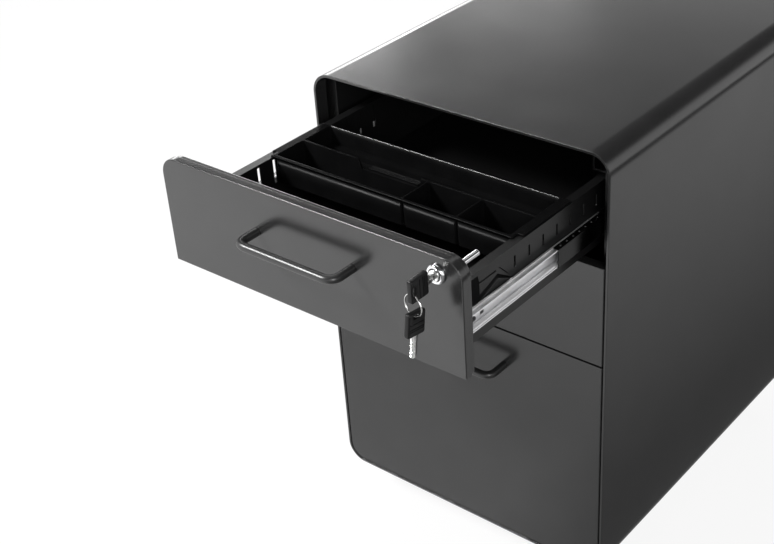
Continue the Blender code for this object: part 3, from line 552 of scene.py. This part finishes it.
class PedestalStage(bpy.types.PropertyGroup):
    azimuth: angle("Azimuth", "Camera's turn about the object", 39.9558)
    elevation: angle("Elevation", "Camera's height angle", 32.5581)
    roll: angle("Roll", "Camera's tilt", -3.24985)
    place: bpy.props.FloatVectorProperty(name="Place", description="Camera's place", size=3,
                                         subtype='TRANSLATION', default=(0.82395, -1.137178, 1.22465))
    lens: number("Lens", "Focal length in millimetres", 63.13)
    floor: colour("Floor", "Colour of the floor", (0.8, 0.8, 0.8))
    seen: share("Seen floor", "How much of the floor's look to the camera is plain white", 0.9)
    horizon: power("Horizon", "Light from round the object", 1.3)
    ceiling: power("Ceiling", "Light from above", 0.09)
    top_light: power("Top light", "Power of the soft box overhead", 9.0)
    back_light: power("Back light", "Power of the soft box behind", 17.5)
    far_light: power("Far light", "Power of the low soft box at the back", 6.4)
    side_light: power("Side light", "Power of the soft box at the side", 28.0)
    front_light: power("Front light", "Power of the soft box in front", 120.0)


# Operators

class Build:
    """What the operators share. Each one's make is given the sizes."""
    bl_options = {'REGISTER', 'UNDO'}

    def execute(self, context):
        self.make(context.scene.pedestal_sizes)
        return {'FINISHED'}


class PEDESTAL_OT_case(Build, bpy.types.Operator):
    """Case: the wrap with its folded rim, and the sheet parts inside it"""
    bl_idname = "pedestal.case"
    bl_label = "Case"

    def make(self, s):
        low, high = span("case_wrap")
        # The sheet's section as (set in from the outside, depth), carried round the rounded outline.
        depth = high[1] - low[1]
        fold, seat = 0.0004, 0.0003
        inner = span("back_panel")[1][1] - low[1] + seat
        section = soften([(0, 0), (0, depth), (s.rim, depth), (s.rim, inner), (s.sheet, inner),
                          (s.sheet, s.rim_depth), (s.rim, s.rim_depth), (s.rim, 0)],
                         (s.rim_edge,) * 3 + (0,) + (fold,) * 3 + (s.rim_edge,), 5, closed=True)
        rows = [(low[1] + d, rounded(low[0], high[0], low[2], high[2], s.case_radius, inset, 24))
                for inset, d in section]
        wrap = piece("case_wrap_finished", [grid(lofted('Y', rows), along=True)], "painted_steel", "case",
                     "case_wrap", 50)
        # The casters' stems come through the bottom a little in front of their wheels.
        lead, hole, through = 0.014, 0.0053, 0.004
        holes = []
        for corner in CORNERS:
            stem = middle("caster_yoke_" + corner)[0], middle("caster_wheels_" + corner)[1] - lead
            holes.append(rod('Z', stem, (low[2] - through, low[2] + through), hole, 32))
        carve(wrap, holes, 50)
        # The liners take the darker inside coat as painted shade.
        for side in SIDES:
            pressed("liner_" + side, "painted_inside", 0.0002, slot="painted_steel")
        pressed("back_panel", "painted_steel")
        for end in ("front", "rear"):
            pressed("base_channel_" + end, "zinc")
        # The zinc lock bar takes the dark inside coat, as painted shade that hides it.
        pressed("lock_bar", "painted_inside", slot="zinc")


class PEDESTAL_OT_fronts(Build, bpy.types.Operator):
    """Drawer fronts: a pan with rolled edges over a nested cover"""
    bl_idname = "pedestal.fronts"
    bl_label = "Drawer fronts"

    def dish(self, s, name, node, outline, inset, face, lip, reach):
        """A flat face whose edge is folded over to a lip, as a section carried round the front's outline."""
        skin, far, fold, crease = 0.0012, 0.02, 0.0004, 0.0008
        inner = face + math.copysign(skin, lip - face)
        edge = soften([(far, face), (inset, face), (inset, lip), (inset + skin, lip), (inset + skin, inner),
                       (far, inner)], (0, s.pan_edge, fold, fold, crease, 0), 5)
        low, high, radii = outline
        rows = [(low[1] + d, rounded(low[0], high[0], low[2], high[2], radii, u))
                for u, d in edge[edge[:, 0] < reach]]
        body = node.partition("_")[0] + "_drawer"
        return piece(body + name, [grid(lofted('Y', rows))], "painted_steel", body, node)

    def make(self, s):
        big, small = s.front_radius, 0.0012
        corners = {"top": (small, small, big, big), "middle": (small,) * 4,
                   "bottom": (big, big, small, small)}
        for prefix in DRAWERS:
            low, high = span(prefix + "_front")
            outline = low, high, corners[prefix]
            pan = self.dish(s, "_pan", prefix + "_front", outline, 0.0, 0.0, high[1] - low[1], 0.004)
            first, last = span(prefix + "_front_cover") - low
            cover = self.dish(s, "_cover", prefix + "_front_cover", outline, first[0], last[1], first[1],
                              0.006)
            if prefix == "top":
                x, y, z = middle("lock_plug")
                for sheet in (pan, cover):
                    carve(sheet, [rod('Y', (x, z), (low[1] - 0.01, low[1] + 0.03), 0.0088, 40)])


class PEDESTAL_OT_handles(Build, bpy.types.Operator):
    """Handles: a round bar with two bends, carried along its path"""
    bl_idname = "pedestal.handles"
    bl_label = "Handles"

    def make(self, s):
        for prefix in DRAWERS:
            low, high = span(prefix + "_handle")
            x, out, foot = high[0] - s.handle_bar, low[1] + s.handle_bar, high[1]
            path = soften([(-x, foot), (-x, out), (x, out), (x, foot)], (0, s.handle_bend, s.handle_bend, 0),
                          14, guard=0.002)
            points = np.column_stack([path, np.full(len(path), (low[2] + high[2]) / 2)])
            # A row close to each foot keeps the bar's end square.
            near = points[[0, -1]] - [0, 0.0006, 0]
            points = np.vstack([points[:1], near[:1], points[1:-1], near[1:], points[-1:]])
            piece(prefix + "_handle_bar", [grid(tube(points, s.handle_bar, 28))], "handle",
                  prefix + "_drawer", prefix + "_handle", 60)


class PEDESTAL_OT_boxes(Build, bpy.types.Operator):
    """Drawer boxes: the folded tubs, file rails and lock catches, with rolled edges"""
    bl_idname = "pedestal.boxes"
    bl_label = "Drawer boxes"

    def make(self, s):
        first, pitch, count, half, tall, down = 0.1001, 0.0242, 9, 0.0014, 0.0126, 0.0116
        for prefix in DRAWERS:
            low, high = span(prefix + "_box")
            slots = []
            if prefix != "bottom":
                # The right side's divider slots, opened a little so that their rolled edges keep the gap.
                for y in low[1] + first + pitch * np.arange(count):
                    slots.append(block((high[0] - 0.004, high[0] + 0.004), (y - half, y + half),
                                       (high[2] - down - tall, high[2] - down), 0.0001))
            pressed(prefix + "_box", "painted_inside", cuts=slots)
            if prefix == "top":
                # Thin dark plates are painted shade behind the left side's slots.
                plates = [block((low[0] - 0.0003, low[0] - 0.0001), (low[1] + start, low[1] + end),
                                (high[2] - 0.0318, high[2] - above), 0.00003)
                          for start, end, above in ((0.04, 0.0905, 0.01), (0.18, 0.41, 0.008))]
                piece("top_box_backing", plates, "painted_inside", "top_drawer")
        for node in ("middle_catch", "bottom_catch", "file_rail_left", "file_rail_right"):
            pressed(node, "zinc")


class PEDESTAL_OT_slides(Build, bpy.types.Operator):
    """Ball slides: rolled members with ball races, cages with their balls, screws and the release lever"""
    bl_idname = "pedestal.slides"
    bl_label = "Slides"

    def channel(self, name, node, body, outline, opens, look):
        """An outline, from a channel's web and up, drawn along its node. It opens outwards or inwards."""
        low, high = span(node)
        side = 1 if low[0] > 0 else -1
        web = low[0] if side == opens else high[0]
        section = np.column_stack([web + side * opens * outline[:, 0],
                                   (low[2] + high[2]) / 2 + outline[:, 1]])
        return piece(node + name, [drawn('Y', (low[1], high[1]), section)], look, body, node, 32)

    def member(self, s, node, body, opens, groove, look="zinc"):
        """A rolled channel: web, two bends and two flanges, each with a race of s.race sqrt(1 - a^2)."""
        width, _, tall = np.subtract(*span(node)[::-1])
        sheet, bend, edge, count = s.slide_sheet, 0.0016, 0.0003, 13
        level = tall / 2 - sheet / 2 - (0 if groove < 0 else s.race)
        a = np.linspace(-1, 1, count)
        race = np.column_stack([(width + sheet) / 2 + s.race * 1.15 * a,
                                level + groove * s.race * np.sqrt(1 - a * a)])
        upper = soften(np.vstack([[(sheet / 2, 0)], [(sheet / 2, level)], race, [(width, level)]]),
                       np.r_[0, bend, np.full(count, edge), 0])
        path = np.vstack([(upper * [1, -1])[::-1], upper[1:]])
        return self.channel("_rolled", node, body, strip(path, sheet), opens, look)

    def make(self, s):
        for prefix in DRAWERS:
            for name in SIDES:
                # The case members take the cage look, darkened as painted shade.
                self.member(s, f"{prefix}_slide_case_{name}", "case", -1, 1, "cage")
                self.drawer_member(s, prefix, name)
                if prefix == "bottom":
                    self.member(s, f"bottom_slide_middle_{name}", "bottom_middles", -1, 1)
                else:
                    self.cage(s, prefix, name)

    def drawer_member(self, s, prefix, name):
        """The drawer's member, with slots in its web for the lever's tongue and the screws."""
        node, body = f"{prefix}_slide_drawer_{name}", prefix + "_drawer"
        obj = self.member(s, node, body, 1, -1)
        low, high = span(node)
        side = 1 if low[0] > 0 else -1
        z = (low[2] + high[2]) / 2
        web = low[0] if side > 0 else high[0]
        inner = web + side * s.slide_sheet
        cuts = []
        for y, long, tall, down in np.array([(43, 3, 2, 2.8), (240, 3.4, 3.4, 0), (360, 3.4, 3.4, 0)]) * MM:
            y, v = low[1] + y, z - down
            slot = rounded(y - long, y + long, v - tall, v + tall, tall * 0.4, 0, 5, 0.0001)
            cuts.append(drawn('X', (web - side * MM, inner + side * MM), slot))
        carve(obj, cuts, 32)
        shape = ((0, 0), (0, 3.6), (0.6, 3.6), (1.4, 2.8), (1.6, 1.4), (0.9, 1.1), (0.9, 0))
        heads = [screw('X', (low[1] + y, z), inner, side, shape) for y in (0.21, 0.33, 0.4)]
        piece(f"{prefix}_slide_screws_{name}", heads, "zinc", body)
        # The release lever lies in the channel at its front.
        lever = np.array([(1, -2.2), (9, -5.8), (17, -5.6), (20, -3), (29, -2.4), (29, 1.2), (20, 2.2),
                          (15, 4.4), (8, 3), (1, 3.6)]) * MM
        lever = soften(lever + [low[1], z], 0.0012, 3, closed=True)
        rows = [(inner + side * x, offset(lever, grow))
                for x, grow in ((0.0009, -0.0003), (0.0012, 0), (0.0034, 0), (0.0037, -0.0003))]
        piece(f"{prefix}_slide_lever_{name}", [grid(lofted('X', rows))], "black_plastic", body)

    def cage(self, s, prefix, name):
        """A thin channel between the members, with a row of balls in each flange."""
        node = f"{prefix}_slide_cage_{name}"
        low, high = span(node)
        width = high[0] - low[0]
        sheet, bend, first, last, pitch = 0.0005, 0.0006, 0.008, 0.004, 0.0115
        half = (high[2] - low[2]) / 2 - sheet / 2
        path = soften([(width, -half), (sheet / 2, -half), (sheet / 2, half), (width, half)],
                      (0, bend, bend, 0))
        body = prefix + "_cages"
        # The cage and its balls take the cage look, darkened as painted shade.
        self.channel("_bent", node, body, strip(path, sheet), -1, "cage")
        profile = s.ball * polar(np.linspace(np.pi, 0, 9))
        flank = (low[0] + high[0]) / 2 - math.copysign(0.0004, low[0])
        balls = [grid(turned('Z', (flank, y), profile, 14) + [0, 0, z], caps=False)
                 for z in (low[2] + sheet / 2, high[2] - sheet / 2)
                 for y in np.arange(low[1] + first, high[1] - last, pitch)]
        piece(node + "_balls", balls, "cage", body)


class PEDESTAL_OT_tray(Build, bpy.types.Operator):
    """Organiser tray: one moulded sheet whose height is worked out over its plan"""
    bl_idname = "pedestal.tray"
    bl_label = "Tray"

    def samples(self, edges, end, coarse, extra):
        """Close samples across each wall's shoulder and wide ones between them."""
        near = np.add.outer(edges, np.linspace(-0.0024, 0.0024, 17)).ravel()
        wide = np.arange(end[0], end[1], coarse)
        every = np.unique(np.round(np.concatenate([near, wide, extra, end]), 6))
        return every[(every >= end[0]) & (every <= end[1])]

    def cell(self, x, y, x0, x1, y0, y1, depth):
        """Depth of a bay: its shoulder is a quarter circle roll - sqrt(roll^2 - d^2), then a steep wall."""
        roll, corner, wall = 0.0008, 0.003, 0.0005
        dx = abs(x - (x0 + x1) / 2) - (x1 - x0) / 2 + corner
        dy = abs(y - (y0 + y1) / 2) - (y1 - y0) / 2 + corner
        out = np.hypot(np.maximum(dx, 0), np.maximum(dy, 0)) + np.minimum(np.maximum(dx, dy), 0) - corner
        shoulder = roll - np.sqrt(roll ** 2 - np.clip(-out, 0, roll) ** 2)
        return np.maximum(shoulder, rise((-out - roll) / wall) * depth)

    def make(self, s):
        low, high = span("tray")
        depth, top = high[1] - low[1], high[2]
        half = (high[0] - low[0]) / 2
        deep = top - low[2] - 0.002
        inner = half - 0.0117
        # Limits in X of the front bays and in Y of the wall behind them, and those of the ribbed rest.
        bays = ((-inner, 0.0202), (0.022, 0.09), (0.0918, inner))
        wall = (0.047, 0.049)
        rest_x, rest_end = (-0.068, 0.003), 0.062
        treads = (depth - 0.026, depth - 0.015)
        lip, lug_x, lug_y = 0.004, half - 0.007, 0.01
        # The dip in the wall: limits, run of each slope, depth. The rest's ribs: pitch, half width, height.
        dip, dip_run, dip_depth = (-0.076, 0.012), 0.005, 0.012
        rib, rib_half, rib_tall = 0.0026, 0.0006, 0.001
        bends = (dip[0], dip[0] + dip_run, dip[1] - dip_run, dip[1], -lug_x, lug_x)
        xs = self.samples((*np.ravel(bays), *rest_x, lip - half, half - lip), (-half, half), 0.006, bends)
        fine = np.append(wall[1] + np.arange(0.0018, 0.0114, 0.0002), lug_y)
        ys = self.samples((lip, *wall, rest_end, depth - lip, *treads), (0.0, depth), 0.004, fine)
        x, y = np.meshgrid(xs, ys)
        # Three bays in front of the wall, a stepped bay behind it, and the ribbed rest that stands in that.
        steps = 0.006 * sum(rise((y - tread) / 0.0012) for tread in treads)
        ribs = rib_tall * sum(rise(1 - abs(y - wall[1] - rib * i) / rib_half) for i in range(1, 5))
        ledge = rise((x - rest_x[0]) / MM) * rise((rest_x[1] - x) / MM) * rise((rest_end - y) / MM)
        rear = (deep - steps) * (1 - ledge) + (dip_depth + 0.0005 - ribs) * ledge
        slope = np.clip((x - dip[0]) / dip_run, 0, 1) * np.clip((dip[1] - x) / dip_run, 0, 1)
        across = rise((y - wall[0] + 0.0012) / 0.0008) * rise((wall[1] + 0.0012 - y) / 0.0008)
        grow = 0.0005
        cells = [self.cell(x, y, start - grow, end + grow, 0.0035, wall[0] + grow, deep)
                 for start, end in bays]
        cells.append(self.cell(x, y, -inner, inner, wall[1] - grow, depth - 0.003, rear))
        cells.append(slope * across * dip_depth)
        # The lip's outer edge is rounded over, and its plan corners are drawn in to an arc.
        edge = np.minimum(np.minimum(half - abs(x), y), depth - y)
        z = top - np.maximum.reduce(cells) - 0.0006 * rise(1 - edge / 0.0008)
        radius = 0.004
        cx = np.clip(x, -half + radius, half - radius)
        cy = np.clip(y, radius, depth - radius)
        dx, dy = x - cx, y - cy
        pull = np.minimum(1, radius / np.maximum(np.hypot(dx, dy), 1e-9))
        points = np.stack([cx + dx * pull + (low[0] + high[0]) / 2, cy + dy * pull + low[1], z], axis=-1)
        obj = piece("organiser_tray", [grid(points, around=False, caps=False)], "tray_plastic", "tray",
                    "tray", 70)
        # The front corners are left out where the box's edges stand.
        with edited(obj.data) as bm:
            centres = [(f, f.calc_center_median()) for f in bm.faces]
            lugs = [f for f, place in centres if abs(place.x) > lug_x and place.y < low[1] + lug_y]
            bmesh.ops.delete(bm, geom=lugs, context='FACES')
            if sum(f.normal.z * f.calc_area() for f in bm.faces) < 0:
                bmesh.ops.reverse_faces(bm, faces=bm.faces[:])
        mod = obj.modifiers.new("wall", 'SOLIDIFY')
        mod.thickness = s.tray_wall
        mod.offset = -1.0
        mod.use_rim = True


class PEDESTAL_OT_lock(Build, bpy.types.Operator):
    """Lock: flanged body, cylinder with its keyway, and the rod that works the bar"""
    bl_idname = "pedestal.lock"
    bl_label = "Lock"

    def make(self, s):
        x, _, z = middle("lock_body")
        face, rear = (corner[1] for corner in span("lock_body"))
        seat = span("top_front")[0][1] - 0.0002
        bore, mouth, crown, barrel = 0.0063, 0.007, 0.0078, 0.0085
        dome = polar(np.linspace(0, np.pi / 2, 9)) * [face - seat, s.flange - crown] + [seat, crown]
        body = soften([(face + 0.0012, bore), (face, mouth), *dome, (seat, barrel), (rear, barrel),
                       (rear, bore)], 0.0003, 2, closed=True, guard=0.0)
        piece("lock_body_turned", [grid(turned('Y', (x, z), body, 56), along=True)], "chrome", "top_drawer",
              "lock_body")
        front, back = (corner[1] for corner in span("lock_plug"))
        plug = soften([(front, 0.0), (front, 0.0058), (back, 0.0058), (back, 0.0)], (0, 0.0006, 0.0004, 0))
        cylinder = piece("lock_cylinder_turned", [grid(turned('Y', (x, z), plug, 48), caps=False)],
                         "nickel", "lock_cylinder", "lock_plug")
        wide, tall = 0.0015, 0.0045
        carve(cylinder, [block((x - wide, x + wide), (face - 0.01, face + 0.0146), (z - tall, z + tall))])
        # A crank plate on the cylinder's end carries the rod below the axis.
        low, high = span("lock_rod")
        start, end = low[1], high[1] - 0.0036
        bend = (high[0] - low[0]) / 2
        plate = [(start + y, rounded(low[0], high[0], low[2], high[2], bend, inset, 12, 0.0001))
                 for y, inset in ((0.0, 0.0004), (0.0004, 0.0), (0.0026, 0.0), (0.003, 0.0004))]
        collar, thin, edge = 0.004, 0.0032, 0.0004
        bar = soften([(start + 0.0028, 0.0), (start + 0.0028, collar), (start + 0.0042, collar),
                      (start + 0.0047, thin), (end, thin), (end, 0.0)],
                     (0, edge, edge, edge, 0.0009, 0))
        piece("lock_rod_turned", [grid(lofted('Y', plate)),
                                  grid(turned('Y', (x, low[2] + bend), bar, 36), caps=False)],
              "chrome", "lock_cylinder", "lock_rod")


class PEDESTAL_OT_keys(Build, bpy.types.Operator):
    """Keys: moulded bows with eyes, cut blades, and the split ring"""
    bl_idname = "pedestal.keys"
    bl_label = "Keys"

    def bow(self):
        """A bow about its eye. Rows run from the eye's wall over the face and round the edge to the other.

        In the key's own frame X is the height over its middle, Y runs from the eye to the blade and Z across.
        A point lies on the ray at its angle, a little off the eye's outline or the outer outline.
        """
        angles = np.linspace(0, 2 * np.pi, 160, endpoint=False) + 0.01
        back, front, half, slit = -0.0044, 0.0198, 0.01175, 0.0019
        rim = soften([(back, -half), (front, -half), (front, half), (back, half)], 0.0022, 8, closed=True)
        rim = by_angle(rim, angles)
        eye = by_angle(rounded(-slit, slit, -0.00525, 0.00525, slit, 0, 8, 0.0001), angles)
        ray = polar(angles)
        rows = [(height * MM, outline + ray * shift * MM) for outline, shift, height in
                ((eye, 0, 0), (eye, 0, 2.2), (eye, 0.3, 2.8), (eye, 0.9, 3.1), (rim, -2.2, 3.1),
                 (rim, -1.4, 3.0), (rim, -0.6, 2.6), (rim, -0.1, 1.8), (rim, 0, 1.0))]
        return lofted('X', rows + [(-height, points) for height, points in rows[::-1][:-1]])

    def bars(self):
        """Raised bars across both faces of the bow."""
        for face in (-1, 1):
            for a, b in ((0.0064, 0.0072), (0.0112, 0.012), (0.0134, 0.0158)):
                base, crest = (rounded(a, b, -0.0102, 0.0102, 0.0005, inset, 3, 0.0) for inset in (0, 0.0002))
                yield lofted('X', [(face * 0.0027, base), (face * 0.0034, base), (face * 0.0037, crest)])

    def blade(self):
        """A blade: its section has a groove on each face, and its lower edge follows the cuts."""
        root, pitch, depths = 0.025, 0.0036, np.array([1.0, 0.55, 1.25, 0.8, 0.4, 1.0, 0.7])
        y = np.concatenate([np.linspace(0.0148, 0.023, 4), np.linspace(0.0232, 0.0428, 52)])
        place = (y - root) / pitch
        cuts = 0.0013 * np.clip(np.abs(place % 1 - 0.5) * 2.6 - 0.35, 0, 1)
        cuts *= depths[np.clip(place.astype(int), 0, len(depths) - 1)]
        cuts = np.where((y < 0.0252) | (y > 0.0398), 0.0, cuts)
        nose = 0.0026 * np.clip((y - 0.04) / 0.0028, 0, 1)
        wide = 0.0042 + 0.001 * np.clip((0.0236 - y) / 0.006, 0, 1)
        lower, upper = -wide + cuts + nose, wide - nose
        # The section as (share of the way across, share of the half thickness).
        side = np.array([(-1.0, -0.75), (-0.86, -1), (-0.3, -1), (-0.22, -0.45), (0.1, -0.45), (0.18, -1),
                         (0.86, -1), (1.0, -0.75)])
        across, x = np.vstack([side, (side * [1, -1])[::-1]]).T
        z = lower[:, None] + (upper - lower)[:, None] * (across + 1) / 2
        return np.stack(np.broadcast_arrays(x * 0.0011, y[:, None], z), axis=-1)

    def make(self, s):
        key = middle("key")
        key[1] = span("key")[0][1] + 0.0044
        spare = middle("key_ring") + [0, 0.0016, -0.0115]
        for name, body, centre, turn in (("key", "lock_cylinder", key, 0.0),
                                         ("spare_key", "spare_key", spare, math.pi / 2 + s.spare_tilt)):
            # The key is turned down about X, and its eye put in its place.
            c, d = math.cos(turn), math.sin(turn)
            down = np.array([(1, 0, 0), (0, c, -d), (0, d, c)])
            bow = [grid(self.bow() @ down + centre, along=True)]
            bow += [grid(bar @ down + centre) for bar in self.bars()]
            piece(name + "_bow", bow, "black_plastic", body, name, 45)
            piece(name + "_cut_blade", [grid(self.blade() @ down + centre)], "nickel", body,
                  name + "_blade")
        # The split ring: two turns of wire side by side, leaning a little forward.
        t = np.linspace(0, 4 * np.pi, 145)
        pitch, lean, wide, tall, wire = 0.00131, 0.0016, 0.011, 0.0111, 0.00042
        coil = np.column_stack([wide * np.sin(t), pitch * (t / (4 * np.pi) - 0.5) - lean * np.sin(t),
                                tall * np.cos(t)])
        piece("split_ring", [grid(tube(middle("key_ring") + coil, wire, 10, (0, 1, 0)))], "nickel",
              "key_ring", "key_ring", 60)


class PEDESTAL_OT_casters(Build, bpy.types.Operator):
    """Casters: twin wheels with soft treads and hubs, under moulded hoods"""
    bl_idname = "pedestal.casters"
    bl_label = "Casters"

    def make(self, s):
        tread, shoulder, fillet, r = 0.009, 0.0024, 0.0008, s.wheel
        for corner in CORNERS:
            low, high = span("caster_wheels_" + corner)
            x, y, _ = middle("caster_wheels_" + corner)
            far = (high[0] - low[0]) / 2 - 0.001
            near = far - tread
            # Half of the pair as (out from the middle, radius): the tread, then the hub's rings on its face.
            side = [(near, 0.002), (near, r - 0.003), (near + fillet, r - fillet), (near + shoulder, r),
                    (far - shoulder, r), (far - fillet, r - fillet), (far, r - 0.003)]
            side += [(far + out * MM, radius * MM) for out, radius in
                     ((0, 15), (-1.2, 14.2), (-1.2, 11.2), (0, 10.4), (0.8, 9.2), (1, 4), (0.2, 3.4),
                      (0.2, 0))]
            side = np.array(side)
            profile = soften(np.vstack([side[::-1] * [-1, 1], side]) + [x, 0], 0.0005, 3, guard=0.0)
            piece("twin_wheels_" + corner, [grid(turned('X', (y, low[2] + r), profile, 56), caps=False)],
                  "black_plastic", "wheels_" + corner, "caster_wheels_" + corner)
            pressed("caster_yoke_" + corner, "black_plastic", 0.0008, 3)


class PEDESTAL_OT_fasteners(Build, bpy.types.Operator):
    """Small fasteners: the screws round the back panel"""
    bl_idname = "pedestal.fasteners"
    bl_label = "Fasteners"

    def make(self, s):
        low, high = span("back_panel")
        in_x, in_z = 0.018, 0.03
        shape = ((0, 0), (0, 3.8), (0.8, 3.8), (2, 2.6), (2.3, 1.2), (1.2, 0.8), (1.2, 0))
        heads = [screw('Y', (x, z), low[1] + s.sheet, 1, shape)
                 for x in (low[0] + in_x, high[0] - in_x)
                 for z in (low[2] + in_z, (low[2] + high[2]) / 2, high[2] - in_z)]
        piece("back_panel_screws", heads, "zinc", "case")


# Each soft box: its setting, its place, what it looks at and its size.
SOFTBOXES = (
    ("top_light", (-0.2, 0.4, 2.4), (0, 0.1, 0.4), (1.6, 1.6)),
    ("back_light", (-2.29, 1.33, 1.21), (0, 0, 0.6), (1.5, 0.7)),
    ("far_light", (-1.72, 2.02, 1.06), (0, 0, 0.6), (0.9, 0.45)),
    ("side_light", (1.9, -1.5, 1.5), (0, -0.1, 0.55), (1.0, 0.8)),
    ("front_light", (-1.52, -1.62, 2.28), (0, -0.3, 0.6), (0.9, 0.32)),
)


class PEDESTAL_OT_stage(Build, bpy.types.Operator):
    """Floor, soft boxes, white surroundings and the camera"""
    bl_idname = "pedestal.stage"
    bl_label = "Stage"

    def softbox(self, name, place, target, size, energy):
        data = bpy.data.lights.new(name, 'AREA')
        data.shape = 'RECTANGLE'
        data.size, data.size_y = size
        data.energy = energy
        back = Vector(place) - Vector(target)
        turn = back.to_track_quat('Z', 'Y').to_matrix().to_4x4()
        placed(name, data).matrix_world = Matrix.Translation(place) @ turn

    def floor(self, stage):
        """A white floor: the camera sees partly a plain white of its own, and shadows stay. Reflections see
        painted light instead: lit brighter in front of the object and darker on its right as a painted
        shadow.
        """
        mesh = bpy.data.meshes.new("studio_floor")
        r = 6.0
        mesh.from_pydata([(-r, -r, 0), (r, -r, 0), (r, r, 0), (-r, r, 0)], [], [(0, 1, 2, 3)])
        floor = placed("studio_floor", mesh)
        tree, bsdf = shader("studio_floor", tuple(stage.floor), 0.6)
        tinted(tree, bsdf, noise(tree, 3.0), stage.floor, 0.985)
        # Painted light for reflections: the floor is painted brighter in front of the object, and darker on
        # the object's right side as a painted shadow.
        at = axes(tree)
        ahead = spread(tree, at["Y"], 1.78, 0.95, -1.0, -0.4)
        painted_lee_shadow = spread(tree, at["X"], 1.0, 0.16, 0.0, 0.25)
        away = worked(tree, 'MULTIPLY', spread(tree, at["X"], 0.0, 0.66, 0.3, 0.8),
                      spread(tree, at["Y"], 0.0, 1.0, -0.4, 0.1))
        near = worked(tree, 'MULTIPLY', away, spread(tree, at["X"], 1.0, 0.0, 1.0, 1.5))
        bright = worked(tree, 'MULTIPLY', ahead, worked(tree, 'ADD', painted_lee_shadow, near))
        rays = add(tree, 'ShaderNodeLightPath').outputs
        # Plain white for the camera; for reflections an emission of painted light, not a lamp.
        plain, painted_floor_glow = add(tree, 'ShaderNodeEmission'), add(tree, 'ShaderNodeEmission')
        tree.links.new(bright, painted_floor_glow.inputs["Strength"])
        seen = worked(tree, 'MULTIPLY', rays["Is Camera Ray"], stage.seen)
        look = blended(tree, seen, bsdf.outputs[0], plain.outputs[0])
        look = blended(tree, rays["Is Glossy Ray"], look, painted_floor_glow.outputs[0])
        tree.links.new(look, tree.nodes["Material Output"].inputs["Surface"])
        mesh.materials.append(bpy.data.materials["studio_floor"])

    def world(self, stage):
        """White to the camera, and for light a bright horizon under a dim ceiling."""
        world = bpy.data.worlds.new("studio")
        bpy.context.scene.world = world
        world.use_nodes = True
        tree = world.node_tree
        back = tree.nodes["Background"]
        back.inputs["Color"].default_value = (1, 1, 1, 1)
        white = add(tree, 'ShaderNodeBackground', Color=(1, 1, 1, 1), Strength=1.0)
        dusk = spread(tree, axes(tree, "Generated")["Z"], stage.horizon, stage.ceiling, 0.26, 0.42)
        tree.links.new(dusk, back.inputs["Strength"])
        rays = add(tree, 'ShaderNodeLightPath').outputs
        look = blended(tree, rays["Is Camera Ray"], back.outputs[0], white.outputs[0])
        tree.links.new(look, tree.nodes["World Output"].inputs["Surface"])

    def camera(self, stage):
        data = bpy.data.cameras.new("camera")
        data.sensor_width = 36.0
        data.lens = stage.lens
        data.shift_x, data.shift_y = -0.058, 0.0271
        data.clip_end = 50.0
        camera = placed("camera", data)
        camera.matrix_world = Matrix.Translation(stage.place)
        for turn, axis in ((stage.azimuth, 'Z'), (math.pi / 2 - stage.elevation, 'X'), (stage.roll, 'Z')):
            camera.matrix_world @= Matrix.Rotation(turn, 4, axis)
        bpy.context.scene.camera = camera

    def make(self, s):
        stage = bpy.context.scene.pedestal_stage
        bpy.context.scene.view_settings.view_transform = 'Standard'
        self.camera(stage)
        self.floor(stage)
        self.world(stage)
        for name, place, target, size in SOFTBOXES:
            self.softbox(name, place, target, size, getattr(stage, name))


class PEDESTAL_PT_panel(bpy.types.Panel):
    """Sizes, finishes and the steps that make the pedestal"""
    bl_idname = "PEDESTAL_PT_panel"
    bl_label = "Pedestal"
    bl_space_type = 'VIEW_3D'
    bl_region_type = 'UI'
    bl_category = "Pedestal"

    def draw(self, context):
        layout = self.layout
        for setting in GROUPS:
            box = layout.box()
            group = getattr(context.scene, setting)
            for name in group.__annotations__:
                box.prop(group, name)
        for step in STEPS:
            layout.operator(step.bl_idname)


STEPS = (PEDESTAL_OT_stage, PEDESTAL_OT_case, PEDESTAL_OT_fronts, PEDESTAL_OT_handles, PEDESTAL_OT_boxes,
         PEDESTAL_OT_slides, PEDESTAL_OT_tray, PEDESTAL_OT_lock, PEDESTAL_OT_keys, PEDESTAL_OT_casters,
         PEDESTAL_OT_fasteners)
GROUPS = {"pedestal_sizes": PedestalSizes, "pedestal_finish": PedestalFinish,
          "pedestal_stage": PedestalStage}
CLASSES = (*GROUPS.values(), *STEPS, PEDESTAL_PT_panel)


def register():
    for cls in CLASSES:
        bpy.utils.register_class(cls)
    for setting, group in GROUPS.items():
        setattr(bpy.types.Scene, setting, bpy.props.PointerProperty(type=group))


def unregister():
    for setting in GROUPS:
        delattr(bpy.types.Scene, setting)
    for cls in reversed(CLASSES):
        bpy.utils.unregister_class(cls)


def main():
    register()
    for step in STEPS:
        group, name = step.bl_idname.split(".")
        getattr(getattr(bpy.ops, group), name)()
    bpy.context.view_layer.update()


if __name__ == "__main__":
    main()
